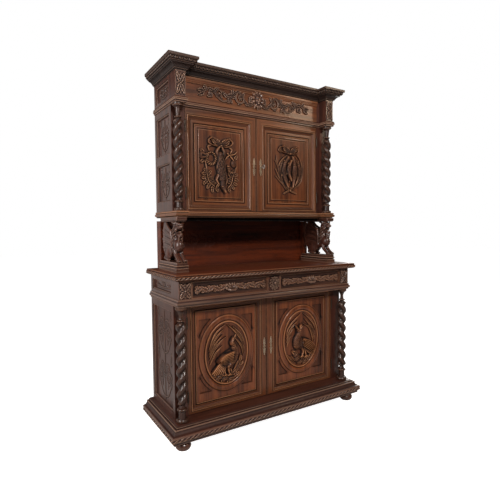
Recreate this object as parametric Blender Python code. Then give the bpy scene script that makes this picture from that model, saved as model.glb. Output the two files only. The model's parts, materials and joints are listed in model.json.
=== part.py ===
"""Two-tier carved buffet cabinet, built as separate pieces.

Units are metres, +Z is up and the front faces -Y. The origin lies on the floor, under the middle of the
footprint. The lower tier holds two cupboard doors and two drawers behind free-standing twisted columns.
A niche with winged supports carries the upper tier, which has two more doors, a frieze and a cornice.
"""
import math

import bmesh
import bpy
from mathutils import Matrix, Vector

# Clearances
GAP = 0.0003
PLAY = 0.0015
DOOR_RISE = 0.0025

# Heights, from the floor up; the upper doors take what the rest leaves
CABINET_HEIGHT = 2.360
FOOT_HEIGHT = 0.052
PLINTH_HEIGHT = 0.095
LOWER_DOOR_ZONE = 0.708
DRAWER_MOULDING_HEIGHT = 0.042
DRAWER_ZONE = 0.111
TOP_THICKNESS = 0.044
PEDESTAL_HEIGHT = 0.060
GRIFFIN_HEIGHT = 0.263
BASE_BOARD_HEIGHT = 0.060
FRIEZE_MOULDING_HEIGHT = 0.035
FRIEZE_HEIGHT = 0.153
CORNICE_HEIGHT = 0.077

# Plan of both tiers, measured from the back
BACK = 0.282
LOWER_HALF = 0.685
LOWER_DEPTH = 0.410
DRAWER_REACH = 0.092
UPPER_HALF = 0.637
UPPER_DEPTH = 0.300
BLOCK_REACH = 0.0835
FRIEZE_REACH = 0.004

# Carcase stock
SIDE_THICKNESS = 0.030
POST_DEPTH = 0.045
LOWER_POST_WIDTH = 0.085
UPPER_POST_WIDTH = 0.092
LOWER_BLOCK_WIDTH = 0.080
UPPER_BLOCK_WIDTH = 0.067
CENTRE_BLOCK_WIDTH = 0.096
SIDE_STILE = 0.034
SIDE_TOP_RAIL = 0.043
LOWER_SIDE_BOTTOM_RAIL = 0.032
UPPER_SIDE_BOTTOM_RAIL = 0.065
UPPER_SIDE_MID_RAIL = 0.057
PANEL_RECESS = 0.017
PANEL_LAP = 0.008
BACK_THICKNESS = 0.012
BACK_INSET = 0.004
SHELF_THICKNESS = 0.018
SHELF_SETBACK = 0.060
DUST_BOARD_THICKNESS = 0.018
DIVIDER_THICKNESS = 0.020
LOWER_SHELF_RISE = 0.350
UPPER_SHELF_RISE = 0.310
UPPER_SIDE_MID_RAIL_RISE = 0.308
FRIEZE_PANEL_MARGIN = 0.022
POCKET_RIM = 0.110
POCKET_ROOF = 0.016

# How far each moulding stands out from what it runs round
PLINTH_DECK_MARGIN = 0.024
PLINTH_DECK_FRONT = 0.100
PLINTH_REACH = 0.054
DRAWER_MOULDING_REACH = 0.010
TOP_SIDE_REACH = 0.035
TOP_FRONT_REACH = 0.046
BASE_BOARD_REACH = 0.0105
FRIEZE_MOULDING_REACH = 0.0103
CORNICE_REACH = 0.0645

# Feet
FOOT_RADIUS = 0.048
FOOT_INSET_X = 0.037
FOOT_INSET_FRONT = 0.010
FOOT_INSET_BACK = 0.062
FOOT_SIDES = 20

# Doors: flat stiles and rails, then a moulding, then the panel
DOOR_THICKNESS = 0.028
LOWER_MEETING = -0.004
UPPER_MEETING = -0.008
MEETING_GAP = 0.002
LEFT_MEETING_STILE = 0.044
RIGHT_MEETING_STILE = 0.054
LOWER_HINGE_STILE = 0.025
LOWER_DOOR_RAIL = 0.016
LOWER_DOOR_MOULDING = 0.045
UPPER_HINGE_STILE = 0.016
UPPER_TOP_RAIL = 0.042
UPPER_BOTTOM_RAIL = 0.012
UPPER_DOOR_MOULDING = 0.060
DOOR_BEAD = 0.004
DOOR_BEAD_WIDTH = 0.010
PANEL_SEAT = 0.014
PANEL_REBATE = 0.008
PANEL_THICKNESS = 0.011
FIELD_MARGIN = 0.018
FIELD_BEVEL = 0.004
FIELD_RISE = 0.004

# Oval ring on the lower door panels
OVAL_WIDTH = 0.380
OVAL_HEIGHT = 0.500
OVAL_BAND = 0.044
OVAL_RISE = 0.012
OVAL_SIDES = 36

# Hinges, escutcheons, key and bolt
HINGE_RADIUS = 0.0055
HINGE_LENGTH = 0.080
HINGE_FROM_END = 0.115
HINGE_SIDES = 10
ESCUTCHEON_LENGTH = 0.125
ESCUTCHEON_WIDTH = 0.019
ESCUTCHEON_THICKNESS = 0.002
LEFT_ESCUTCHEON_INSET = 0.017
RIGHT_ESCUTCHEON_INSET = 0.037
LOWER_ESCUTCHEON_RISE = 0.350
UPPER_ESCUTCHEON_RISE = 0.315
KEY_RADIUS = 0.0034
KEY_OUT = 0.030
KEY_BOW_RADIUS = 0.013
KEY_BOW_WIRE = 0.003
KEY_BIT_HEIGHT = 0.0080
KEY_BIT_LENGTH = 0.007
KEY_BIT_THICKNESS = 0.0030
KEY_SIDES = 12
KEY_BOW_SIDES = 6
LOCK_WALL = 0.008
BOLT_LENGTH = 0.036
BOLT_HEIGHT = 0.012
BOLT_THICKNESS = 0.009
BOLT_RISE = 0.0115
BOLT_KEEPER_DEPTH = 0.015

# Drawers
DRAWER_FRONT_THICKNESS = 0.022
DRAWER_SETBACK = 0.002
DRAWER_BORDER = 0.013
DRAWER_SINK = 0.006
DRAWER_WALL = 0.010
DRAWER_BOTTOM = 0.008
DRAWER_BOX_DROP = 0.014
DRAWER_BACK_ROOM = 0.020
DRAWER_SIDE_ROOM = 0.003
PULL_WIDTH = 0.088
PULL_HEIGHT = 0.050
PULL_REACH = 0.024
PULL_SIDES = 12

# Columns
LOWER_COLUMN_RADIUS = 0.033
LOWER_COLUMN_INSET_X = 0.025
LOWER_COLUMN_SETBACK = 0.037
UPPER_COLUMN_RADIUS = 0.031
UPPER_COLUMN_INSET_X = 0.028
UPPER_COLUMN_SETBACK = 0.0335
TWIST_PITCH = 0.136
TWIST_CORE = 0.60
TWIST_RINGS_PER_TURN = 11
LOWER_COLUMN_BASE_HEIGHT = 0.103
UPPER_COLUMN_BASE_HEIGHT = 0.076
COLUMN_CAPITAL_HEIGHT = 0.093
COLUMN_SIDES = 12

# Niche
PEDESTAL_WIDTH = 0.066
PEDESTAL_REACH = 0.008
PEDESTAL_SETBACK = 0.002
GRIFFIN_INSET_X = 0.025
GRIFFIN_LENGTH = 0.290
GRIFFIN_EDGE_WIDTH = 0.004
HEAD_WIDTH = 0.064
LEG_WIDTH = 0.068
BODY_WIDTH = 0.060
WING_WIDTH = 0.048
NICHE_BACK_THICKNESS = 0.036
NICHE_POST_WIDTH = 0.037
NICHE_POST_DEPTH = 0.040
NICHE_SINK = 0.008
NICHE_BOTTOM_RAIL = 0.100
NICHE_TOP_RAIL = 0.050
NICHE_STILE = 0.070

# Levels worked out from the heights
DECK = FOOT_HEIGHT + PLINTH_HEIGHT
LOWER_DOOR_TOP = DECK + LOWER_DOOR_ZONE
DRAWER_FLOOR = LOWER_DOOR_TOP + DRAWER_MOULDING_HEIGHT
TOP_UNDERSIDE = DRAWER_FLOOR + DRAWER_ZONE
WORKTOP = TOP_UNDERSIDE + TOP_THICKNESS
PEDESTAL_TOP = WORKTOP + PEDESTAL_HEIGHT
UPPER_UNDERSIDE = PEDESTAL_TOP + GRIFFIN_HEIGHT
UPPER_FLOOR = UPPER_UNDERSIDE + BASE_BOARD_HEIGHT
FRIEZE_TOP = CABINET_HEIGHT - CORNICE_HEIGHT
FRIEZE_BOTTOM = FRIEZE_TOP - FRIEZE_HEIGHT
UPPER_DOOR_TOP = FRIEZE_BOTTOM - FRIEZE_MOULDING_HEIGHT

# Planes worked out from the plan
LOWER_FRONT = BACK - LOWER_DEPTH
DRAWER_FACE = LOWER_FRONT - DRAWER_REACH
UPPER_FRONT = BACK - UPPER_DEPTH
BLOCK_FACE = UPPER_FRONT - BLOCK_REACH
FRIEZE_FACE = UPPER_FRONT - FRIEZE_REACH
LOWER_OPENING = LOWER_HALF - LOWER_POST_WIDTH
UPPER_OPENING = UPPER_HALF - UPPER_POST_WIDTH
BACK_PANEL_FACE = BACK - BACK_INSET - BACK_THICKNESS
DECK_HALF = LOWER_HALF + PLINTH_DECK_MARGIN
DECK_FRONT = LOWER_FRONT - PLINTH_DECK_FRONT
GRIFFIN_X = UPPER_HALF - GRIFFIN_INSET_X
GRIFFIN_FRONT = BLOCK_FACE - PEDESTAL_REACH - PEDESTAL_SETBACK

SIDES = (("left", -1), ("right", 1))

# Moulding shapes: share of the height, share of the reach
PLINTH_SHAPE = ((0.00, 0.74), (0.10, 0.74), (0.22, 0.92), (0.28, 1.00), (0.50, 1.00), (0.57, 0.92),
                (0.61, 0.67), (0.70, 0.63), (0.78, 0.35), (0.88, 0.18), (0.90, 0.07), (1.00, 0.00))
DRAWER_MOULDING_SHAPE = ((0.00, 0.00), (0.15, 0.30), (0.30, 0.40), (0.42, 1.00), (0.68, 1.00), (0.80, 0.50),
                         (1.00, 0.20))
TOP_SHAPE = ((0.00, 0.00), (0.12, 0.12), (0.20, 0.50), (0.28, 0.85), (0.40, 1.00), (0.62, 1.00), (0.70, 0.88),
             (0.92, 0.88), (1.00, 0.80))
PEDESTAL_SHAPE = ((0.00, 1.00), (0.38, 1.00), (0.44, 0.55), (0.55, 0.75), (0.72, 0.70), (0.82, 0.25),
                  (1.00, 0.25))
BASE_BOARD_SHAPE = ((0.00, 0.00), (0.10, 0.15), (0.30, 0.30), (0.42, 0.90), (0.52, 1.00), (0.85, 1.00),
                    (0.92, 0.70), (1.00, 0.60))
FRIEZE_MOULDING_SHAPE = ((0.00, 0.00), (0.20, 0.30), (0.38, 1.00), (0.68, 1.00), (0.78, 0.45), (1.00, 0.20))
CORNICE_SHAPE = ((0.00, 0.04), (0.08, 0.12), (0.16, 0.14), (0.30, 0.36), (0.40, 0.52), (0.44, 0.64),
                 (0.52, 0.66), (0.58, 0.76), (0.72, 0.84), (0.78, 0.96), (0.84, 1.00), (1.00, 1.00))

# Turned shapes: share of the height, share of the radius
COLUMN_BASE_SHAPE = ((0.00, 1.05), (0.18, 1.05), (0.26, 0.82), (0.50, 0.62), (0.62, 0.78), (0.70, 0.95),
                     (0.80, 0.95), (0.88, 0.70), (1.00, 0.75))
COLUMN_CAPITAL_SHAPE = ((0.00, 0.70), (0.08, 0.98), (0.18, 0.98), (0.26, 0.72), (0.60, 0.78), (0.80, 1.05),
                        (1.00, 1.05))
HINGE_SHAPE = ((0.00, 0.35), (0.04, 0.75), (0.08, 0.35), (0.10, 1.00), (0.90, 1.00), (0.92, 0.35),
               (0.96, 0.75), (1.00, 0.35))
FOOT_SHAPE = ((0.00, 0.80), (0.12, 0.92), (0.35, 1.00), (0.60, 0.96), (0.80, 0.82), (0.90, 0.74),
              (1.00, 0.74))
PULL_SHAPE = ((0.00, 1.00), (0.35, 0.95), (0.65, 0.78), (0.90, 0.45), (1.00, 0.12))

# Section of the oval ring: share of the band from outside in, share of the rise
OVAL_SHAPE = ((0.00, 0.50), (0.14, 1.00), (0.34, 1.00), (0.46, 0.45), (0.54, 0.75), (1.00, 0.40))

# Outline of an escutcheon: share of the half length from the middle, share of the half width
ESCUTCHEON_SHAPE = ((0.00, 1.00), (0.11, 0.87), (0.22, 0.58), (0.33, 0.45), (0.44, 0.58), (0.56, 0.87),
                    (0.67, 1.00), (0.78, 0.80), (0.89, 0.46), (1.00, 0.15))

# Finishes: linear colour, roughness, metallic
DARK_OAK = ((0.050, 0.026, 0.016), 0.45, 0.0)
WARM_OAK = ((0.110, 0.052, 0.026), 0.42, 0.0)
PLAIN_OAK = ((0.160, 0.095, 0.055), 0.65, 0.0)
PALE_BRASS = ((0.560, 0.480, 0.360), 0.35, 1.0)
STEEL = ((0.400, 0.390, 0.370), 0.40, 1.0)

# Griffin outlines: share of the length from the front, share of the height
HEAD_OUTLINE = (
    (0.192, 1.00), (0.130, 0.905), (0.041, 0.810), (0.058, 0.749), (0.192, 0.738), (0.082, 0.688),
    (0.116, 0.586), (0.205, 0.545), (0.245, 0.495), (0.150, 0.435), (0.120, 0.385), (0.150, 0.315),
    (0.230, 0.228), (0.380, 0.228), (0.405, 0.500), (0.395, 0.700), (0.375, 0.860), (0.410, 1.00))
LEG_OUTLINE = (
    (0.210, 0.260), (0.120, 0.170), (0.014, 0.105), (0.000, 0.055), (0.020, 0.000), (0.255, 0.000),
    (0.300, 0.060), (0.360, 0.090), (0.420, 0.260))
BODY_OUTLINE = (
    (0.330, 0.100), (0.450, 0.095), (0.540, 0.035), (0.575, 0.000), (0.870, 0.000), (0.870, 0.050),
    (0.800, 0.090), (0.890, 0.150), (0.930, 0.300), (0.800, 0.420), (0.600, 0.450), (0.360, 0.430))
WING_OUTLINE = (
    (0.340, 0.400), (0.430, 0.660), (0.555, 0.745), (0.700, 0.830), (0.800, 0.930), (0.845, 1.000),
    (0.900, 1.000), (0.918, 0.870), (0.965, 0.715), (0.990, 0.525), (1.000, 0.335), (0.925, 0.220),
    (0.600, 0.230))


def clear_scene():
    """Remove every object, so that the script can be run again."""
    for obj in list(bpy.data.objects):
        bpy.data.objects.remove(obj, do_unlink=True)


def make_material(name, finish):
    """Make a Principled material from a finish."""
    colour, roughness, metallic = finish
    material = bpy.data.materials.new(name)
    material.use_nodes = True
    shader = material.node_tree.nodes["Principled BSDF"]
    shader.inputs["Base Color"].default_value = (*colour, 1.0)
    shader.inputs["Roughness"].default_value = roughness
    shader.inputs["Metallic"].default_value = metallic
    return material


def add_pivot(name, location):
    """Add an empty on a joint's axis, for the moving pieces to hang on."""
    pivot = bpy.data.objects.new(name, None)
    pivot.location = location
    bpy.context.scene.collection.objects.link(pivot)
    return pivot


def hang(pivot, carrier):
    """Let a pivot ride on another one without moving it."""
    pivot.parent = carrier
    pivot.matrix_parent_inverse = Matrix.Translation(-carrier.location)


def add_object(name, bm, finish=None, pivot=None, smooth=False):
    """Turn a bmesh in world coordinates into a named object, hung on a pivot if there is one."""
    bmesh.ops.recalc_face_normals(bm, faces=bm.faces)
    if pivot:
        bmesh.ops.translate(bm, verts=bm.verts, vec=-pivot.location)
    mesh = bpy.data.meshes.new(name)
    bm.to_mesh(mesh)
    bm.free()
    if smooth:
        mesh.shade_smooth()
        mesh.set_sharp_from_angle(angle=math.radians(40))
    if finish:
        mesh.materials.append(make_material(name, finish))
    obj = bpy.data.objects.new(name, mesh)
    obj.parent = pivot
    bpy.context.scene.collection.objects.link(obj)
    return obj


def combine(obj, operation, bm):
    """Add a Boolean modifier that joins a shape to an object or cuts it away."""
    name = f"{obj.name}_tool_{len(obj.modifiers) + 1}"
    tool = add_object(name, bm, pivot=obj.parent)
    tool.hide_render = True
    tool.display_type = "WIRE"
    modifier = obj.modifiers.new(name, "BOOLEAN")
    modifier.operation = operation
    modifier.solver = "EXACT"
    modifier.object = tool


def box(low, high):
    """A box between two corners."""
    bm = bmesh.new()
    bmesh.ops.create_cube(bm, size=1.0)
    bmesh.ops.scale(bm, verts=bm.verts, vec=Vector(high) - Vector(low))
    bmesh.ops.translate(bm, verts=bm.verts, vec=(Vector(high) + Vector(low)) / 2)
    return bm


def side_box(sign, inner, outer, front, back, bottom, top):
    """A box given by its distances from the middle plane, on the left (-1) or the right (1)."""
    low, high = sorted((sign * inner, sign * outer))
    return box((low, front, bottom), (high, back, top))


def loft(loops, ring=False):
    """Skin a row of loops with equal numbers of points; a ring closes on itself, a stack gets two caps."""
    bm = bmesh.new()
    rows = [[bm.verts.new(point) for point in loop] for loop in loops]
    pairs = list(zip(rows, rows[1:]))
    if ring:
        pairs.append((rows[-1], rows[0]))
    else:
        bm.faces.new(rows[0])
        bm.faces.new(rows[-1])
    count = len(rows[0])
    for first, second in pairs:
        for i in range(count):
            j = (i + 1) % count
            bm.faces.new((first[i], first[j], second[j], second[i]))
    return bm


def front_rectangle(bounds, inset, y):
    """A rectangle in the plane at y, drawn in by an inset from its left, right, bottom and top bounds."""
    left, right, bottom, top = bounds
    return [(left + inset, y, bottom + inset), (right - inset, y, bottom + inset),
            (right - inset, y, top - inset), (left + inset, y, top - inset)]


def plan_rectangle(left, right, front, back, z):
    """A rectangle in plan at height z."""
    return [(left, front, z), (right, front, z), (right, back, z), (left, back, z)]


def oval(x, z, half_width, half_height, y, sides):
    """An oval in the plane at y."""
    angles = [2 * math.pi * i / sides for i in range(sides)]
    return [(x + half_width * math.cos(a), y, z + half_height * math.sin(a)) for a in angles]


def moulded(plan, shape, bottom, height):
    """Stack plans over a moulding shape; plan(share) gives the outline at that share of the reach."""
    return loft([[(x, y, bottom + rise * height) for x, y in plan(share)] for rise, share in shape])


def turned(profile, x, y, sides):
    """A turned solid about a vertical axis, from (radius, height) pairs."""
    angles = [2 * math.pi * i / sides for i in range(sides)]
    return loft([[(x + r * math.cos(a), y + r * math.sin(a), z) for a in angles] for r, z in profile])


def rod(x, z, front, back, radius):
    """A round rod along Y."""
    return loft([oval(x, z, radius, radius, y, KEY_SIDES) for y in (front, back)])


def ressaut_outline(reach):
    """Outline of the upper tier's front and sides, broken forward over the corner blocks."""
    side = UPPER_HALF + reach
    step = UPPER_HALF - UPPER_BLOCK_WIDTH - reach
    block = BLOCK_FACE - reach
    middle = FRIEZE_FACE - reach
    return [(-side, BACK), (-side, block), (-step, block), (-step, middle),
            (step, middle), (step, block), (side, block), (side, BACK)]


def make_feet():
    """Four turned bun feet under the corners of the plinth."""
    places = {"front": DECK_FRONT + FOOT_INSET_FRONT, "back": BACK - FOOT_INSET_BACK}
    for end, y in places.items():
        for side, sign in SIDES:
            profile = [(FOOT_RADIUS * share, rise * (FOOT_HEIGHT - GAP)) for rise, share in FOOT_SHAPE]
            bm = turned(profile, sign * (DECK_HALF - FOOT_INSET_X), y, FOOT_SIDES)
            add_object(f"foot_{end}_{side}", bm, DARK_OAK, smooth=True)


def make_plinth():
    """The moulded plinth with its deck, hollow underneath."""
    def plan(share):
        reach = share * PLINTH_REACH
        half = DECK_HALF + reach
        return [(-half, BACK), (-half, DECK_FRONT - reach), (half, DECK_FRONT - reach), (half, BACK)]

    plinth = add_object("plinth", moulded(plan, PLINTH_SHAPE, FOOT_HEIGHT, PLINTH_HEIGHT), DARK_OAK)
    half = DECK_HALF - POCKET_RIM
    pocket = box((-half, DECK_FRONT + POCKET_RIM, FOOT_HEIGHT - POCKET_ROOF),
                 (half, BACK - POCKET_RIM, DECK - POCKET_ROOF))
    combine(plinth, "DIFFERENCE", pocket)


def make_lower_sides():
    """Post-and-rail side frames that end in the carved corner blocks, and the panels let into them."""
    openings = ((DECK + LOWER_SIDE_BOTTOM_RAIL, LOWER_DOOR_TOP - SIDE_TOP_RAIL),
                (DRAWER_FLOOR + FRIEZE_PANEL_MARGIN, TOP_UNDERSIDE - FRIEZE_PANEL_MARGIN))
    bottom = DECK + GAP
    top = TOP_UNDERSIDE - GAP
    for side, sign in SIDES:
        inner = LOWER_HALF - SIDE_THICKNESS
        frame = add_object(f"lower_side_frame_{side}",
                           side_box(sign, inner, LOWER_HALF, LOWER_FRONT, BACK, bottom, top), DARK_OAK)
        combine(frame, "UNION", side_box(sign, LOWER_OPENING, LOWER_HALF - PANEL_LAP, LOWER_FRONT,
                                         LOWER_FRONT + POST_DEPTH, bottom, top))
        combine(frame, "UNION", side_box(sign, LOWER_HALF - LOWER_BLOCK_WIDTH, LOWER_HALF, DRAWER_FACE,
                                         LOWER_FRONT + SIDE_STILE / 2, DRAWER_FLOOR + GAP, top))
        fill_side(frame, f"lower_side_panel_{side}", sign, LOWER_HALF, LOWER_FRONT, openings)


def fill_side(frame, panel_name, sign, half, front, openings):
    """Cut a side frame's panel openings and the long rebate behind them, and fill the rebate with a board."""
    face = half - PANEL_RECESS
    for bottom, top in openings:
        combine(frame, "DIFFERENCE", side_box(sign, face, half + PANEL_LAP, front + SIDE_STILE,
                                              BACK - SIDE_STILE, bottom, top))
    inner = half - SIDE_THICKNESS
    post_back = front + POST_DEPTH
    back = BACK - SIDE_STILE + PANEL_LAP
    low = openings[0][0] - PANEL_LAP
    high = openings[-1][1] + PANEL_LAP
    combine(frame, "DIFFERENCE", side_box(sign, inner - PANEL_LAP, face + GAP, post_back, back, low, high))
    board = side_box(sign, inner, face, post_back + GAP, back - GAP, low + GAP, high - GAP)
    add_object(panel_name, board, WARM_OAK)


def make_lower_inside():
    """Back panel, shelf, and the dust board with its divider and carved centre block."""
    half = LOWER_HALF - SIDE_THICKNESS - GAP
    add_object("lower_back_panel", box((-half, BACK_PANEL_FACE, DECK + GAP),
                                       (half, BACK - BACK_INSET, TOP_UNDERSIDE - GAP)), PLAIN_OAK)
    back = BACK_PANEL_FACE - GAP
    shelf = DECK + LOWER_SHELF_RISE
    add_object("lower_shelf", box((-half, LOWER_FRONT + SHELF_SETBACK, shelf),
                                  (half, back, shelf + SHELF_THICKNESS)), PLAIN_OAK)
    front = LOWER_FRONT + POST_DEPTH + GAP
    rail = add_object("drawer_rail", box((-half, front, DRAWER_FLOOR - DUST_BOARD_THICKNESS),
                                         (half, back, DRAWER_FLOOR)), DARK_OAK)
    combine(rail, "UNION", box((-DIVIDER_THICKNESS / 2, front, DRAWER_FLOOR - DUST_BOARD_THICKNESS / 2),
                               (DIVIDER_THICKNESS / 2, back, TOP_UNDERSIDE - GAP)))
    combine(rail, "UNION", box((-CENTRE_BLOCK_WIDTH / 2, DRAWER_FACE, DRAWER_FLOOR + GAP),
                               (CENTRE_BLOCK_WIDTH / 2, front + DIVIDER_THICKNESS, TOP_UNDERSIDE - GAP)))


def make_drawer_moulding():
    """The moulding under the drawers, round the front and both sides."""
    inner = LOWER_HALF + GAP

    def plan(share):
        reach = share * DRAWER_MOULDING_REACH
        half = LOWER_HALF + DRAWER_MOULDING_REACH / 2 + reach
        face = DRAWER_FACE - reach
        return [(-half, BACK), (-half, face), (half, face), (half, BACK), (inner, BACK),
                (inner, LOWER_FRONT - GAP), (-inner, LOWER_FRONT - GAP), (-inner, BACK)]

    bm = moulded(plan, DRAWER_MOULDING_SHAPE, LOWER_DOOR_TOP, DRAWER_MOULDING_HEIGHT)
    add_object("drawer_moulding", bm, DARK_OAK)


def make_drawers():
    """Two drawers, each with a sunk front, a box and a carved pull."""
    inner = CENTRE_BLOCK_WIDTH / 2 + PLAY
    outer = LOWER_HALF - LOWER_BLOCK_WIDTH - PLAY
    box_outer = LOWER_OPENING - DRAWER_SIDE_ROOM
    face = DRAWER_FACE + DRAWER_SETBACK
    box_front = face + DRAWER_FRONT_THICKNESS + GAP
    bottom = DRAWER_FLOOR + GAP
    top = TOP_UNDERSIDE - PLAY
    for side, sign in SIDES:
        middle = sign * (inner + outer) / 2
        pivot = add_pivot(f"drawer_{side}_slide", (middle, face, bottom))
        left, right = sorted((sign * inner, sign * outer))
        bounds = (left, right, bottom, top)
        bm = loft([front_rectangle(bounds, 0, face + DRAWER_FRONT_THICKNESS),
                   front_rectangle(bounds, 0, face),
                   front_rectangle(bounds, DRAWER_BORDER, face),
                   front_rectangle(bounds, DRAWER_BORDER + DRAWER_SINK / 2, face + DRAWER_SINK)])
        add_object(f"drawer_front_{side}", bm, WARM_OAK, pivot)

        left, right = sorted((sign * (inner + DRAWER_SIDE_ROOM), sign * box_outer))
        back = BACK_PANEL_FACE - DRAWER_BACK_ROOM
        rim = top - DRAWER_BOX_DROP
        wall = DRAWER_WALL
        hollow = (left + wall, right - wall, box_front + wall, back - wall)
        bm = loft([plan_rectangle(left, right, box_front, back, bottom),
                   plan_rectangle(left, right, box_front, back, rim),
                   plan_rectangle(*hollow, rim),
                   plan_rectangle(*hollow, bottom + DRAWER_BOTTOM)])
        add_object(f"drawer_box_{side}", bm, PLAIN_OAK, pivot)

        bm = pull_shape(middle, face + DRAWER_SINK - GAP, (bottom + top) / 2)
        add_object(f"drawer_pull_{side}", bm, DARK_OAK, pivot, smooth=True)


def pull_shape(x, y, z):
    """Half of a flattened ball, with its flat side against the drawer front."""
    half_width = PULL_WIDTH / 2
    half_height = PULL_HEIGHT / 2
    return loft([oval(x, z, share * half_width, share * half_height, y - rise * PULL_REACH, PULL_SIDES)
                 for rise, share in PULL_SHAPE])


def make_buffet_top():
    """The worktop with its moulded nose."""
    def plan(share):
        half = LOWER_HALF + share * TOP_SIDE_REACH
        face = DRAWER_FACE - share * TOP_FRONT_REACH
        return [(-half, BACK), (-half, face), (half, face), (half, BACK)]

    add_object("buffet_top", moulded(plan, TOP_SHAPE, TOP_UNDERSIDE, TOP_THICKNESS), WARM_OAK)


def make_columns():
    """Four twisted columns; the left and right ones turn opposite ways."""
    for side, sign in SIDES:
        place = (sign * (LOWER_HALF - LOWER_COLUMN_INSET_X), DRAWER_FACE + LOWER_COLUMN_SETBACK)
        add_column(f"lower_column_{side}", place, DECK + GAP, LOWER_DOOR_TOP - GAP,
                   LOWER_COLUMN_RADIUS, LOWER_COLUMN_BASE_HEIGHT, -sign)
        place = (sign * (UPPER_HALF - UPPER_COLUMN_INSET_X), BLOCK_FACE + UPPER_COLUMN_SETBACK)
        add_column(f"upper_column_{side}", place, UPPER_FLOOR + GAP, UPPER_DOOR_TOP - GAP,
                   UPPER_COLUMN_RADIUS, UPPER_COLUMN_BASE_HEIGHT, -sign)


def add_column(name, place, bottom, top, radius, base, hand):
    """A turned base and capital with a two-start barley twist between them."""
    x, y = place
    twist_bottom = bottom + base
    twist_top = top - COLUMN_CAPITAL_HEIGHT
    steps = round((twist_top - twist_bottom) / TWIST_PITCH * TWIST_RINGS_PER_TURN)
    angles = [2 * math.pi * i / COLUMN_SIDES for i in range(COLUMN_SIDES)]

    def ring(z, shape):
        return [(x + radius * shape(a) * math.cos(a), y + radius * shape(a) * math.sin(a), z) for a in angles]

    def twist(step):
        z = twist_bottom + (twist_top - twist_bottom) * step / steps
        turn = hand * 2 * math.pi * (z - twist_bottom) / TWIST_PITCH
        return ring(z, lambda a: TWIST_CORE + (1 - TWIST_CORE) * abs(math.cos(a - turn)))

    loops = [ring(bottom + rise * base, lambda a, share=share: share) for rise, share in COLUMN_BASE_SHAPE]
    loops += [twist(step) for step in range(1, steps)]
    loops += [ring(twist_top + rise * COLUMN_CAPITAL_HEIGHT, lambda a, share=share: share)
              for rise, share in COLUMN_CAPITAL_SHAPE]
    add_object(name, loft(loops), DARK_OAK, smooth=True)


def make_pedestals():
    """The moulded block under each griffin."""
    back = BACK - NICHE_BACK_THICKNESS - NICHE_POST_DEPTH - PEDESTAL_REACH - GAP
    for side, sign in SIDES:
        def plan(share, centre=sign * GRIFFIN_X):
            reach = share * PEDESTAL_REACH
            half = PEDESTAL_WIDTH / 2 + reach
            front = BLOCK_FACE - PEDESTAL_SETBACK - reach
            return [(centre - half, back + reach), (centre - half, front),
                    (centre + half, front), (centre + half, back + reach)]

        bm = moulded(plan, PEDESTAL_SHAPE, WORKTOP + GAP, PEDESTAL_HEIGHT - GAP)
        add_object(f"pedestal_{side}", bm, DARK_OAK)


def carved_slab(outline, x, width):
    """A griffin outline cut from a board of some width, with its edges eased."""
    height = GRIFFIN_HEIGHT - 2 * GAP
    points = [Vector((GRIFFIN_FRONT + u * GRIFFIN_LENGTH, PEDESTAL_TOP + GAP + v * height))
              for u, v in outline]
    eased = []
    for i, point in enumerate(points):
        before = (point - points[i - 1]).normalized()
        after = (points[(i + 1) % len(points)] - point).normalized()
        inward = Vector((-(before.y + after.y), before.x + after.x))
        stretch = min(2.0, 1.0 / max(0.1, 1.0 + before.dot(after)))
        moved = point + inward * stretch * GRIFFIN_EDGE_WIDTH
        on_seat = abs(point.y - points[i - 1].y) < GAP or abs(point.y - points[(i + 1) % len(points)].y) < GAP
        eased.append(Vector((moved.x, point.y)) if on_seat else moved)
    half = width / 2
    full = half - GRIFFIN_EDGE_WIDTH
    sections = ((-half, eased), (-full, points), (full, points), (half, eased))
    return loft([[(x + offset, p.x, p.y) for p in edge] for offset, edge in sections])


def make_griffins():
    """The winged supports: head and chest, forelegs, body and wings."""
    for side, sign in SIDES:
        x = sign * GRIFFIN_X
        griffin = add_object(f"griffin_{side}", carved_slab(HEAD_OUTLINE, x, HEAD_WIDTH), DARK_OAK)
        combine(griffin, "UNION", carved_slab(BODY_OUTLINE, x, BODY_WIDTH))
        combine(griffin, "UNION", carved_slab(WING_OUTLINE, x, WING_WIDTH))
        combine(griffin, "UNION", carved_slab(LEG_OUTLINE, x, LEG_WIDTH))


def make_niche_back():
    """The panelled back of the niche, with a post at each end."""
    face = BACK - NICHE_BACK_THICKNESS
    bottom = WORKTOP + GAP
    top = UPPER_UNDERSIDE - GAP
    back = add_object("niche_back", box((-UPPER_HALF, face, bottom), (UPPER_HALF, BACK, top)), DARK_OAK)
    for side, sign in SIDES:
        combine(back, "UNION", side_box(sign, UPPER_HALF - NICHE_POST_WIDTH, UPPER_HALF,
                                        face - NICHE_POST_DEPTH, BACK, bottom, top))
    half = UPPER_HALF - NICHE_STILE
    combine(back, "DIFFERENCE", box((-half, face - NICHE_SINK, bottom + NICHE_BOTTOM_RAIL),
                                    (half, face + NICHE_SINK, top - NICHE_TOP_RAIL)))


def make_base_board():
    """The upper tier's moulded bottom board, broken forward under the columns."""
    bm = moulded(lambda share: ressaut_outline(share * BASE_BOARD_REACH), BASE_BOARD_SHAPE,
                 UPPER_UNDERSIDE, BASE_BOARD_HEIGHT)
    add_object("upper_base_board", bm, WARM_OAK)


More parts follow.
